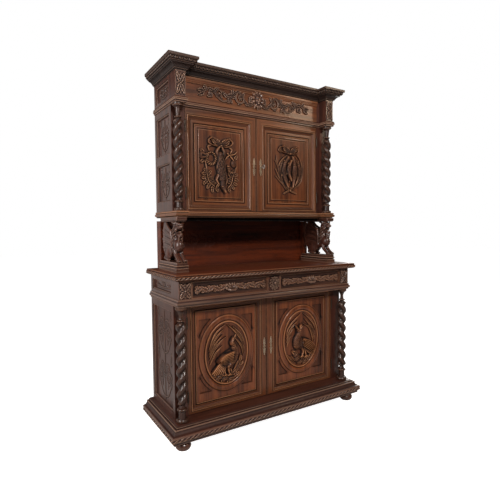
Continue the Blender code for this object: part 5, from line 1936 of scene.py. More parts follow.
@dataclass
class Crown:
    """Base board, frieze and cornice of the upper tier."""

    block: float = 0.067
    board_reach: float = 0.0105
    strip_reach: float = 0.0103
    strip_height: float = 0.035
    cornice_reach: float = 0.0645
    leaf_width: float = 0.0255
    leaf_height: float = 0.0125
    carving_rise: float = 0.0125

    foot_height: float = 0.0205
    foot_recess: float = 0.030

    def build(self, shop: Workshop, rows: bpy.types.NodeTree) -> None:
        """Make the three pieces.

        Args:
            shop: the workshop.
            rows: the tree for rows of ornaments.
        """
        low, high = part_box("upper_side_frame_right")
        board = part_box("frieze")
        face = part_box("upper_base_board")[0].y + self.board_reach
        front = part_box("upper_left_door_frame")[0].y
        tier = Tier(high.x, front, face, self.block, high.y)

        bottom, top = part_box("upper_base_board")
        r = self.board_reach
        foot = self.foot_height
        section = Profile(0.0, -self.foot_recess).line(foot - 0.0005, -self.foot_recess).line(foot, 0.0)
        section.line(foot + 0.003, 0.0).curve(foot + 0.008, 0.45 * r, -0.2).line(foot + 0.0085, 0.80 * r)
        section.line(foot + 0.0095, r).curve(0.046, r, 0.10).line(0.0465, 0.70 * r).line(0.0475, 0.40 * r)
        section.line(0.0495, 0.40 * r).line(0.050, 0.62 * r).curve(0.0575, 0.55 * r, 0.2)
        section.line(top.z - bottom.z, 0.50 * r)
        skin = moulding(tier.stepped, section, bottom.z, 0.010)
        # Painted shadow: the recessed foot under the board's moulding is made fully dark.
        skin.cavity[skin.points[:, 2] < bottom.z + foot - 0.0002] = 1.0
        shop.add("base_board_moulded", skin, "cabinet", WARM_OAK, (Grain.ACROSS,), ["upper_base_board"])

        self.make_frieze(shop, tier, board)
        bottom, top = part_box("cornice")
        r = self.cornice_reach
        section = Profile(0.0, 0.04 * r).line(0.005, 0.04 * r).line(0.0055, 0.12 * r)
        section.curve(0.012, 0.16 * r, 0.25)
        section.line(0.0125, 0.20 * r).curve(0.031, 0.56 * r, -0.10).line(0.0315, 0.60 * r)
        section.line(0.037, 0.62 * r)
        section.line(0.0375, 0.67 * r).curve(0.043, 0.75 * r, 0.2).line(0.0435, 0.79 * r)
        section.line(0.0575, 0.86 * r)
        section.line(0.058, 0.90 * r).curve(0.063, 0.99 * r, 0.16).line(0.0635, r).line(top.z - bottom.z, r)
        shop.add("cornice_moulded", moulding(tier.stepped, section, bottom.z, 0.012), "cabinet", SHADED_BLACK_OAK,
                 (Grain.ACROSS,),
                 ["cornice"])
        leaf = leaf_tongue(self.leaf_width, self.leaf_height, 0.0050)
        runs = runs_round(tier.stepped(0.83 * r), bottom.z + 0.0505, self.leaf_width)
        OrnamentRow("cornice_leaves", runs, leaf, self.leaf_width, 7).build(shop, rows, "cabinet", SHADED_BLACK_OAK)

    def make_frieze(self, shop: Workshop, tier: Tier, board: tuple) -> None:
        """Make the frieze's moulding, board and carving.

        Args:
            shop: the workshop.
            tier: the upper tier's planes.
            board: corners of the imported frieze.
        """
        r = self.strip_reach / 2
        behind = tier.front + 0.003

        def strip(reach: float) -> list[Point]:
            return wrapped(tier.stepped(r + reach), tier.half + HAIR, behind)

        section = Profile(0.0, 0.0).line(0.004, 0.0).curve(0.010, 0.5 * r, -0.2).line(0.0105, 0.8 * r)
        section.curve(0.018, 0.8 * r, 0.3).line(0.0185, 0.5 * r).line(0.020, 0.9 * r)
        section.curve(0.029, 0.6 * r, 0.2)
        section.line(self.strip_height, 0.2 * r)
        shop.add("frieze_strip_moulded", moulding(strip, section, board[0].z), "cabinet", DARK_OAK,
                 (Grain.ACROSS,))
        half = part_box("upper_left_door_frame")[0].x
        half = -half + 0.0012
        bottom = board[0].z + self.strip_height - 0.002

        def plan(reach: float) -> list[Point]:
            return [(-half, tier.front + 0.015), (-half, tier.front - reach), (half, tier.front - reach),
                    (half, tier.front + 0.015)]

        rise = board[1].z - bottom
        section = Profile(0.0, 0.0).line(rise - 0.036, 0.0).line(rise - 0.0355, 0.004)
        section.curve(rise - 0.024, 0.007, 0.2)
        section.line(rise - 0.0235, 0.0085).line(rise - 0.013, 0.0095).line(rise - 0.0125, 0.012)
        section.line(rise, 0.012)
        shop.add("frieze_moulded", moulding(plan, section, bottom), "cabinet", WARM_OAK, (Grain.ACROSS,),
                 ["frieze"])
        field = Relief(0.950, 0.094, 0.00125, MM)
        carve_frieze(field, self.carving_rise / MM)
        plane = Plane((0.0, tier.front - 0.0002, 0.0), (1.0, 0.0, 0.0))
        shop.add("frieze_scrolls", field.sheet(plane, 0.0, bottom + 0.078, bare=True, shade=(0.2, 0.6)),
                 "cabinet", DARK_OAK,
                 (Grain.ACROSS,))
        shop.add("frieze_mask", leaf_mask(0.0, tier.front - 0.001, bottom + 0.084), "cabinet", DARK_OAK,
                 sharp=60)


@dataclass
class Door:
    """One door: its mitred frame, its panel and its carving."""

    tier: str
    side: str
    moulding: float
    bead: float = 0.004
    thickness: float = 0.028
    seat: float = 0.0077

    def frame(self) -> tuple:
        """Shape the frame.

        Returns:
            The skin and the bounds of the panel that shows.
        """
        low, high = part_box(f"{self.tier}_{self.side}_door_frame")
        inner_low, inner_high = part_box(f"{self.tier}_{self.side}_door_panel")
        self.plane = Plane((0.0, low.y + self.bead, 0.0), (1.0, 0.0, 0.0))
        bounds = np.array((low.x, high.x, low.z, high.z))
        shown = np.array((inner_low.x, inner_high.x, inner_low.z, inner_high.z))
        flats = np.abs(shown - bounds) - (self.moulding - self.seat)
        m, b = self.moulding, self.bead
        section = Profile(-0.0042, 0.0).line(-0.0036, -0.0030).line(-0.0006, -0.0030).line(0.0, -0.0005)
        section.curve(0.0065, -0.0005, 0.5, 8).line(0.0070, -0.0040).line(0.0088, -0.0040)
        section.line(0.0094, -0.0020)
        section.curve(0.0094 + 0.25 * m, -0.0118, -0.10, 8).line(0.0100 + 0.25 * m, -0.0132)
        section.line(0.0115 + 0.25 * m, -0.0132)
        section.line(0.0120 + 0.25 * m, -0.0116).line(m - 0.0160, -0.0110).line(m - 0.0155, -0.0180)
        section.line(m - 0.0088, -0.0180).line(m - 0.0080, -0.0112).curve(m - 0.0026, -0.0112, 0.42, 6)
        section.line(m - 0.0020, -0.0146).line(m, -0.0148)
        loops = [(0.0, -self.thickness), (0.0, -0.0015), (0.0015, 0.0)]
        loops += [(flats + inset, rise if rise <= 0 else rise * b / 0.0045) for inset, rise in section.points]
        loops += [(flats + m, -0.018), (flats + m - 0.004, -self.thickness)]
        skin = mitred(self.plane, bounds, loops)
        # Painted shadow: the door darkens within a few millimetres of its outer edges, for the shadow in the
        # gap round it.
        x, _, z = skin.points.T
        gap = np.minimum(np.minimum(x - low.x, high.x - x), np.minimum(z - low.z, high.z - z))
        skin.cavity = np.maximum(skin.cavity, np.clip(1.2 - gap / 0.0026, 0, 1))
        return skin, bounds + (flats + m) * np.array((1, -1, 1, -1))

    def build(self, shop: Workshop) -> None:
        """Make the door.

        Args:
            shop: the workshop.
        """
        name = f"{self.tier}_{self.side}_door"
        skin, shown = self.frame()
        grains = (Grain.UP, Grain.ACROSS)
        shop.add(f"{name}_frame_moulded", skin, name, WARM_OAK, grains, [f"{name}_frame"])
        self.fill(shop, name, shown)

    def fill(self, shop: Workshop, name: str, shown: np.ndarray) -> None:
        """Make the panel and its carving."""
        raise NotImplementedError


def slotted(skin: Skin, edge: float, end: float, low: Vector, high: Vector) -> Skin:
    """Cut a square slot into the face of a skin that lies across X and holds the whole slot.

    Args:
        skin: the skin.
        edge: the face's X.
        end: the X of the slot's end.
        low: lowest Y and Z of the slot, as a corner.
        high: highest Y and Z of the slot, as a corner.

    Returns:
        The skin with the slot.
    """
    for n, face in enumerate(skin.faces):
        corners = skin.points[list(face)]
        lowest, highest = corners[:, 1:].min(axis=0), corners[:, 1:].max(axis=0)
        inside = (lowest < (low.y, low.z)).all() and (highest > (high.y, high.z)).all()
        if inside and np.abs(corners[:, 0] - edge).max() < 1e-6:
            break
    first = len(skin.points)
    middle = corners.mean(axis=0)
    mouth = [(edge, low.y if y < middle[1] else high.y, low.z if z < middle[2] else high.z) for _, y,
             z in corners]
    points = np.concatenate([skin.points, mouth, [(end, y, z) for _, y, z in mouth]])
    ring = [(k, (k + 1) % 4) for k in range(4)]
    added = [(face[a], face[b], first + b, first + a) for a, b in ring]
    added += [(first + a, first + b, first + 4 + b, first + 4 + a) for a,
              b in ring] + [tuple(range(first + 4, first + 8))]
    faces, paint = list(skin.faces), list(skin.paint)
    faces[n:n + 1], paint[n:n + 1] = added, [paint[n]] * len(added)
    # The slot's inside is made fully dark: grime and painted shade.
    return Skin(points, faces, np.append(skin.cavity, [1.0] * 8), paint)


@dataclass
class UpperDoor(Door):
    """An upper door with a fielded panel and a hanging trophy."""

    keeper: float = 0.015
    play: float = 0.0006
    border: float = 0.020
    field_rise: float = 0.0050
    pitch: float = 0.0015

    def frame(self) -> tuple:
        """Shape the frame, with a slot for the bolt in the edge that meets the other door.

        Returns:
            The skin and the bounds of the panel that shows.
        """
        skin, shown = super().frame()
        low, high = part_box("lock_bolt")
        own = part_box(f"upper_{self.side}_door_frame")
        edge, end = (own[1].x, own[1].x - self.keeper) if self.side == "left" else (own[0].x,
                high.x + self.play)
        play = Vector((0.0, self.play, self.play))
        return slotted(skin, edge, end, low - play, high + play), shown

    def fill(self, shop: Workshop, name: str, shown: np.ndarray) -> None:
        """Make the fielded panel and carve it.

        Args:
            shop: the workshop.
            name: the door's name.
            shown: left, right, bottom and top of the panel that shows.
        """
        ground = -0.0143
        b, r = self.border, self.field_rise
        section = [(-0.006, ground - 0.010), (-0.006, ground), (0.0, ground), (b - 0.0090, ground + 0.0016),
                   (b - 0.0085, ground - 0.0030), (b - 0.0020, ground - 0.0030),
                   (b - 0.0012, ground + r - 0.0006),
                   (b, ground + r), (b + 0.006, ground + r)]
        skin = mitred(self.plane, shown, section, ring=False)
        low, high = (shown[0] + b + 0.004, shown[2] + b + 0.004), (shown[1] - b - 0.004, shown[3] - b - 0.004)
        field = Relief(high[0] - low[0], high[1] - low[1], self.pitch, MM)
        (carve_hare if self.side == "left" else carve_fish)(field)
        plane = Plane((0.0, self.plane.origin[1] - ground - r - HAIR, 0.0), (1.0, 0.0, 0.0))
        skin = skin.joined(field.sheet(plane, (low[0] + high[0]) / 2, (low[1] + high[1]) / 2,
                                       shade=(0.04, 0.72)))
        shop.add(f"{name}_panel_carved", skin, name, WARM_OAK, replaces=[f"{name}_panel"], worn=1.1)


@dataclass
class LowerDoor(Door):
    """A lower door with an oval ring, sunk corners and a carved bird."""

    half_width: float = 0.206
    half_height: float = 0.256
    band: float = 0.060
    corner_half_width: float = 0.200
    corner_half_height: float = 0.240
    margin: float = 0.016
    sink: float = 0.009
    pitch: float = 0.0015

    def fill(self, shop: Workshop, name: str, shown: np.ndarray) -> None:
        """Make the panel with its ring and carve it.

        Args:
            shop: the workshop.
            name: the door's name.
            shown: left, right, bottom and top of the panel that shows.
        """
        ground = -0.0143
        x, z = (shown[0] + shown[1]) / 2, (shown[2] + shown[3]) / 2
        edge = np.array([(shown[1] - shown[0]) / 2 + 0.006, (shown[3] - shown[2]) / 2 + 0.006])
        corner = np.array([self.corner_half_width, self.corner_half_height])
        angles = np.linspace(0, 2 * np.pi, 120, endpoint=False)
        for shape in (edge, corner):
            a = math.atan2(shape[1], shape[0])
            angles = np.append(angles, (a, np.pi - a, np.pi + a, 2 * np.pi - a))
        angles = np.sort(angles)
        way = np.stack([np.cos(angles), np.sin(angles)], axis=1)

        def square(half: np.ndarray) -> np.ndarray:
            return way * np.min(half / np.maximum(np.abs(way), 1e-6), axis=1)[:, None]

        def oval(inset: float) -> np.ndarray:
            half = np.array([self.half_width, self.half_height]) - inset
            return way / np.sqrt(((way / half) ** 2).sum(axis=1))[:, None]

        rim, near = square(corner), oval(-self.margin)
        closed = np.hypot(*rim.T) < np.hypot(*near.T) + 0.004
        rim[closed] = near[closed]
        sunk = np.where(closed, 0.0, -self.sink)
        ease = np.where(closed, 0.0, 0.0022)[:, None]
        along = way * ease
        floor, low_rim, low_near = ground + sunk, rim - along, near + along
        hollow = np.where(closed, 0.0, 1.0)
        # Each row also says how dark it is painted: painted shade darkens the rims of the sunk corners, their
        # floor a little, and the oval's edge.
        rows = [(square(edge), ground, 0.0), (rim + 3 * along, ground, 0.0), (rim, ground, 0.2 * hollow),
                (low_rim, floor, hollow)]
        rows += [(low_rim * (1 - t) + low_near * t, floor, 0.30 * hollow) for t in (0.10, 0.5, 0.90)]
        rows += [(low_near, floor, hollow), (near, ground, 0.1 * hollow), (oval(-0.004), ground, 0.0),
                 (oval(0.0), ground, 0.6)]
        ring = Profile(0.001, 0.0005).curve(0.014, 0.0090, 0.20).curve(0.036, 0.0055, 0.12)
        ring.line(0.0385, -0.0005)
        ring.line(0.041, -0.0015).line(0.0425, 0.0040).curve(0.0535, 0.0040, 0.36).line(0.055, -0.0005)
        ring.line(self.band, -0.001).line(self.band + 0.006, -0.003)
        # The ring's hollows are darkened: grime and painted shade.
        dirt = hollows(*np.array(ring.points).T)
        rows += [(oval(inset), ground + rise, hollow) for (inset, rise), hollow in zip(ring.points, dirt)]
        loops = [self.plane.at(x + place[:, 0], z + place[:, 1], rise) for place, rise, _ in rows]
        skin = loft(loops, caps=False)
        skin.cavity = np.concatenate([np.broadcast_to(hollow, len(way)) for _, _, hollow in rows])
        half = (self.half_width - self.band + 0.006, self.half_height - self.band + 0.006)
        field = Relief(2 * half[0], 2 * half[1], self.pitch, MM)
        (carve_pheasant if self.side == "left" else carve_partridge)(field)
        plane = Plane((0.0, self.plane.origin[1] - ground + 0.002, 0.0), (1.0, 0.0, 0.0))
        skin = skin.joined(field.sheet(plane, x, z, oval=half, shade=(0.16, 0.66)))
        shop.add(f"{name}_panel_carved", skin, name, AMBER_OAK, replaces=[f"{name}_panel"], worn=1.3)


@dataclass
class Drawer:
    """A drawer with a carved sunk front and a leafy pull."""

    side: str
    border: float = 0.013
    sink: float = 0.006

    def build(self, shop: Workshop) -> None:
        """Make the front, the pull and the box.

        Args:
            shop: the workshop.
        """
        body = f"drawer_{self.side}"
        low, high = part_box(f"drawer_front_{self.side}")
        plane = Plane((0.0, low.y, 0.0), (1.0, 0.0, 0.0))
        bounds = (low.x, high.x, low.z, high.z)
        b = self.border
        section = [(0.0, low.y - high.y), (0.0, -0.0030), (0.0012, -0.0008), (0.0030, 0.0), (b - 0.0065, 0.0),
                   (b - 0.0045, -0.0010), (b - 0.0035, -self.sink), (b + 0.001, -self.sink),
                   (b + 0.006, -self.sink)]
        skin = mitred(plane, bounds, section, ring=False)
        width, height = high.x - low.x - 2 * b - 0.004, high.z - low.z - 2 * b - 0.004
        field = Relief(width, height, 0.0014, MM)
        carve_running_vine(field, width / MM / 2 - 12, 44)
        ground = Plane((0.0, low.y + self.sink - HAIR, 0.0), (1.0, 0.0, 0.0))
        x, z = (low.x + high.x) / 2, (low.z + high.z) / 2
        skin = skin.joined(field.sheet(ground, x, z, shade=(0.50, 0.0)))
        skin.paint = None
        shop.add(f"{body}_front_carved", skin, body, SMOKED_OAK, (Grain.ACROSS,),
                 [f"drawer_front_{self.side}"])
        low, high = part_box(f"drawer_pull_{self.side}")
        pull = Sculpt((x - 0.050, low.y - 0.003, z - 0.030), (x + 0.050, high.y + 0.002, z + 0.032), 0.0011)
        back = high.y
        pull.ball((x, back - 0.002, z - 0.004), (0.036, 0.011, 0.019), 0.003)
        for way in (-1, 1):
            pull.limb([(x + way * 0.004, back - 0.011, z - 0.004), (x + way * 0.020, back - 0.014, z + 0.004),
                       (x + way * 0.036, back - 0.010, z + 0.017),
                       (x + way * 0.043, back - 0.007, z + 0.010)],
                      (0.0080, 0.0085, 0.0060, 0.0040), 0.0015)
            pull.limb([(x + way * 0.004, back - 0.011, z), (x + way * 0.013, back - 0.012, z + 0.014),
                       (x + way * 0.019, back - 0.007, z + 0.025)], (0.0070, 0.0060, 0.0030), 0.0010)
            pull.ball((x + way * 0.036, back - 0.007, z - 0.006), (0.009, 0.008, 0.009), 0.002)
        pull.limb([(x, back - 0.012, z), (x, back - 0.011, z + 0.024)], (0.0070, 0.0040), 0.0010)
        lip = [(x - 0.034, back - 0.010, z - 0.010), (x - 0.016, back - 0.016, z - 0.017),
               (x + 0.016, back - 0.016, z - 0.017),
               (x + 0.034, back - 0.010, z - 0.010)]
        pull.limb(lip, (0.006, 0.009, 0.009, 0.006), 0.002)
        pull.d = np.maximum(pull.d, pull.y - back)
        shop.add(f"{body}_pull_carved", pull.skin(), body, DARK_OAK, (Grain.ACROSS,),
                 [f"drawer_pull_{self.side}"],
                 worn=1.0)
        shop.paint_solid(f"drawer_box_{self.side}", PLAIN_OAK, Grain.DEEP)


@dataclass
class Blocks:
    """Carved faces of the corner blocks and of the centre block."""

    lower_width: float = 0.080
    upper_width: float = 0.067
    centre_width: float = 0.096
    rise: float = 0.0085

    def build(self, shop: Workshop) -> None:
        """Carve the five faces.

        Args:
            shop: the workshop.
        """
        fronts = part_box("drawer_front_left")
        for tier, width, bottom, top in (("lower", self.lower_width, fronts[0].z, fronts[1].z),
                                         ("upper", self.upper_width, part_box("frieze")[0].z + 0.0355,
                                          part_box("cornice")[0].z - 0.0005)):
            for side, way in SIDES:
                low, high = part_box(f"{tier}_side_frame_{side}")
                outer = low.x if way < 0 else high.x
                field = Relief(width - 0.002, top - bottom - 0.002, 0.0012)
                carve_cross_flower(field, width / 2 - 0.006, (top - bottom) / 2 - 0.007, self.rise)
                plane = Plane((0.0, low.y - 0.0003, 0.0), (1.0, 0.0, 0.0))
                skin = field.sheet(plane, outer - way * width / 2, (bottom + top) / 2, 0.002)
                shop.add(f"{tier}_block_{side}_carved", skin, "cabinet", DARK_OAK)
        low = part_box("drawer_rail")[0]
        field = Relief(self.centre_width - 0.002, fronts[1].z - fronts[0].z - 0.002, 0.0012, MM)
        carve_rosette(field, 12)
        plane = Plane((0.0, low.y - 0.0003, 0.0), (1.0, 0.0, 0.0))
        skin = field.sheet(plane, 0.0, (fronts[0].z + fronts[1].z) / 2, 0.002)
        shop.add("centre_block_carved", skin, "cabinet", DARK_OAK)


@dataclass
class SidePanels:
    """Low carved panels of one tier's sides, each in a beaded opening."""

    tier: str
    front: float
    back: float
    openings: tuple
    bead: float = 0.007
    rise: float = 0.0042
    pitch: float = 0.0020

    def build(self, shop: Workshop) -> None:
        """Carve the panels of both sides.

        Args:
            shop: the workshop.
        """
        for side, way in SIDES:
            node = f"{self.tier}_side_panel_{side}"
            low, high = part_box(node)
            face = low.x if way < 0 else high.x
            plane = Plane((face + way * 0.0004, 0.0, 0.0), (0.0, way, 0.0))
            left, right = sorted((way * self.front, way * self.back))
            whole = None
            for bottom, top in self.openings:
                bounds = (left, right, bottom, top)
                section = [(0.0, 0.0), (0.0, 0.010), (0.002, 0.0125), (self.bead - 0.002, 0.0105),
                           (self.bead, 0.004),
                           (self.bead + 0.002, 0.0004)]
                skin = mitred(plane, bounds, section, ring=False)
                margin = self.bead + 0.0015
                width, height = right - left - 2 * margin, top - bottom - 2 * margin
                field = Relief(width, height, self.pitch)
                carve_scroll_panel(field, width / 2 - 0.016, height / 2 - 0.014, self.rise)
                sheet = field.sheet(plane, (left + right) / 2, (bottom + top) / 2)
                skin = skin.joined(Skin(sheet.points, sheet.faces, sheet.cavity))
                whole = skin if whole is None else whole.joined(skin)
            whole.paint = None
            shop.add(f"{node}_carved", whole, "cabinet", DARK_OAK)
            shop.paint_solid(node, WARM_OAK, Grain.UP, 0.0)


@dataclass
class Niche:
    """Pedestals, griffins and the carved back of the niche."""

    pedestal_reach: float = 0.008
    panel_half: float = 0.567
    panel_bottom: float = 0.100
    panel_top: float = 0.050
    sink: float = 0.008
    griffin_rise: float = 0.0200

    def build(self, shop: Workshop) -> None:
        """Make the niche.

        Args:
            shop: the workshop.
        """
        for side, way in SIDES:
            node = f"pedestal_{side}"
            low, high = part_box(node)
            r = self.pedestal_reach

            def plan(reach: float) -> list[Point]:
                inset = r - reach
                return [(low.x + inset, high.y - inset), (low.x + inset, low.y + inset),
                        (high.x - inset, low.y + inset),
                        (high.x - inset, high.y - inset)]

            section = Profile(0.0, r).line(0.020, r).curve(0.0235, 0.8 * r, 0.2).line(0.024, 0.45 * r)
            section.curve(0.034, 0.5 * r, -0.12).line(0.0345, 0.75 * r).curve(0.043, 0.65 * r, 0.3)
            section.line(0.0435, 0.3 * r).line(high.z - low.z, 0.25 * r)
            shop.add(f"{node}_moulded", moulding(plan, section, low.z, 0.008), "cabinet", DARK_OAK,
                     (Grain.DEEP,), [node])
            low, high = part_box(f"griffin_{side}")
            skin = griffin(low, high, self.griffin_rise)
            shop.add(f"griffin_{side}_carved", skin, "cabinet", DARK_OAK, replaces=[f"griffin_{side}"],
                     sharp=60, worn=0.3)
        low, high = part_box("niche_back")
        shop.paint_solid("niche_back", SHADED_RED_OAK, Grain.ACROSS)
        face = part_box("niche_back")[1].y - 0.036 + self.sink
        bottom, top = low.z + self.panel_bottom, high.z - self.panel_top
        plane = Plane((0.0, face - 0.0003, 0.0), (1.0, 0.0, 0.0))
        field = Relief(2 * self.panel_half - 0.004, top - bottom - 0.004, 0.0022)
        for way in (-1, 1):
            for x, hand in ((0.10, 1), (0.24, -1), (0.38, 1), (0.50, -1)):
                field.volute(way * x, 0.0, 0.052, way * hand, 90 if hand > 0 else -90, 0.0014)
                field.frond(way * (x + 0.05), 0.0, 60 if way > 0 else 120, 0.06, 0.014, 0.0014, way * 40, 3)
        skin = field.sheet(plane, 0.0, (bottom + top) / 2)
        shop.add("niche_panel_carved", skin, "cabinet", SHADED_RED_OAK, (Grain.ACROSS,), worn=0.0)


def griffin(low: Vector, high: Vector, rise: float) -> Skin:
    """Sculpt a seated winged beast that looks forward, filling a box.

    Args:
        low: the box's lowest corner.
        high: the box's highest corner.
        rise: how far it reaches above the box, into the recess of the board over it.

    Returns:
        The skin.
    """
    middle = (low.x + high.x) / 2
    length, height = high.y - low.y, high.z - low.z
    shape = Sculpt((-0.040, -0.006, -0.004), (0.040, length + 0.006, height + 0.004), 0.0020)

    def both(points: Sequence) -> Iterable:
        return ([(way * x, y, z) for x, y, z in points] for way in (-1, 1))

    wing = [(0.250, 0.250), (0.266, 0.226), (0.280, 0.190), (0.286, 0.164), (0.281, 0.156), (0.287, 0.132),
            (0.288, 0.112),
            (0.282, 0.106), (0.284, 0.084), (0.272, 0.056), (0.262, 0.052), (0.250, 0.026), (0.232, 0.004),
            (0.182, 0.004),
            (0.160, 0.022), (0.138, 0.036), (0.120, 0.070), (0.114, 0.120), (0.120, 0.168), (0.134, 0.184),
            (0.158, 0.196),
            (0.184, 0.208), (0.206, 0.224), (0.222, 0.250)]
    shape.plank(wing, 0.023, 0.007, 0.002)
    for groove in ([(0.268, 0.206), (0.220, 0.186), (0.170, 0.172)],
                   [(0.284, 0.160), (0.230, 0.150), (0.160, 0.136)],
                   [(0.286, 0.109), (0.225, 0.108), (0.156, 0.098)],
                   [(0.268, 0.054), (0.215, 0.064), (0.160, 0.064)]):
        for cut in both([(0.026, y, z) for y, z in groove]):
            shape.limb(cut, (0.0030, 0.0052, 0.0070), cut=True)
    for rib in ([(0.276, 0.186), (0.220, 0.168), (0.150, 0.152)],
                [(0.284, 0.134), (0.225, 0.128), (0.150, 0.116)],
                [(0.278, 0.080), (0.220, 0.086), (0.150, 0.080)]):
        for ridge in both([(0.0175, y, z) for y, z in rib]):
            shape.limb(ridge, (0.0075, 0.0085, 0.0075), 0.004)
    for edge in both([(0.020, 0.124, 0.070), (0.021, 0.120, 0.130), (0.021, 0.132, 0.180),
                      (0.020, 0.190, 0.210), (0.018, 0.240, 0.250)]):
        shape.limb(edge, (0.008, 0.010, 0.010, 0.008, 0.006), 0.002)
    shape.limb([(0, 0.078, 0.205), (0, 0.090, 0.150), (0, 0.074, 0.105)], (0.028, 0.028, 0.030), 0.010)
    for cut in both([(0.030, 0.112, 0.172), (0.030, 0.107, 0.120), (0.030, 0.110, 0.066)]):
        shape.limb(cut, (0.006, 0.007, 0.006), cut=True)
    shape.ball((0, 0.056, 0.096), (0.032, 0.038, 0.038), 0.006)
    shape.limb([(0, 0.085, 0.076), (0, 0.140, 0.066), (0, 0.200, 0.050)], (0.024, 0.024, 0.028), 0.008)
    shape.ball((0, 0.060, 0.214), (0.028, 0.033, 0.027), 0.008)
    shape.ball((0, 0.032, 0.203), (0.019, 0.027, 0.013), 0.005, -10)
    shape.ball((0, 0.010, 0.207), (0.011, 0.009, 0.009), 0.003)
    shape.ball((0, 0.036, 0.158), (0.016, 0.024, 0.011), 0.004, 8)
    shape.ball((0, 0.017, 0.163), (0.010, 0.008, 0.008), 0.003)
    shape.ball((0, 0.024, 0.181), (0.022, 0.028, 0.0095), cut=True)
    shape.limb([(0, 0.055, 0.176), (0, 0.022, 0.176)], (0.007, 0.004), 0.001, 1.3)
    for sign in (-1, 1):
        shape.ball((sign * 0.021, 0.056, 0.190), (0.010, 0.017, 0.013), 0.004)
        shape.ball((sign * 0.017, 0.036, 0.217), (0.0065, 0.0065, 0.0065), 0.0008)
        shape.ball((sign * 0.017, 0.195, 0.046), (0.018, 0.044, 0.038), 0.006)
        shape.ball((sign * 0.020, 0.014, 0.010), (0.014, 0.016, 0.011), 0.003)
        shape.ball((sign * 0.023, 0.176, 0.008), (0.012, 0.028, 0.009), 0.003)
        for toe in (-0.008, 0.0, 0.008):
            shape.ball((sign * 0.020 + toe, 0.003, 0.008), (0.0042, 0.009, 0.008), 0.0006)
    for brow in both([(0.005, 0.022, 0.219), (0.026, 0.044, 0.231)]):
        shape.limb(brow, (0.006, 0.007), 0.002)
    for ear in both([(0.022, 0.066, 0.226), (0.028, 0.098, 0.234)]):
        shape.limb(ear, (0.009, 0.004), 0.002)
    for leg in both([(0.018, 0.070, 0.066), (0.020, 0.058, 0.044), (0.020, 0.036, 0.026),
                     (0.020, 0.014, 0.013)]):
        shape.limb(leg, (0.015, 0.013, 0.011, 0.010), 0.004)
    for leg in both([(0.022, 0.205, 0.036), (0.024, 0.232, 0.018), (0.024, 0.180, 0.010)]):
        shape.limb(leg, (0.014, 0.011, 0.008), 0.003)
    for k in range(5):
        drop = 0.021 * k
        for lock in both([(0.024, 0.062 + 0.003 * k, 0.204 - drop), (0.030, 0.082 + 0.002 * k, 0.190 - drop),
                          (0.026, 0.098, 0.166 - drop)]):
            shape.limb(lock, (0.006, 0.0065, 0.003), 0.001)
    for k in range(2):
        for lock in both([(0.008, 0.026 + 0.004 * k, 0.150 - 0.014 * k),
                          (0.014, 0.030 + 0.003 * k, 0.132 - 0.014 * k)]):
            shape.limb(lock, (0.007, 0.003), 0.001)
    for y, z, radius in ((0.119, 0.222, 0.010), (0.115, 0.204, 0.009), (0.113, 0.186, 0.007),
                         (0.112, 0.026, 0.015),
                         (0.134, 0.016, 0.010), (0.090, 0.014, 0.011)):
        shape.limb([(-0.045, y, z), (0.045, y, z)], (radius, radius), cut=True)
    rail = [(0.004, 0.2440), (length - 0.002, 0.2440), (length - 0.002, height + 0.01),
            (0.004, height + 0.01)]
    shape.plank(rail, 0.034, 0.0025, 0.001)
    shape.plank([(0.010, 0.238), (length - 0.006, 0.238), (length - 0.006, 0.248), (0.010, 0.248)], 0.030,
                0.002, 0.001)
    top = height - 0.0002
    shape.d = np.maximum(np.maximum(shape.d, shape.z - top), -shape.z)
    skin = shape.skin()
    skin.points[:, 2] *= 1.0 + rise / height
    return skin.moved(middle, low.y, low.z)


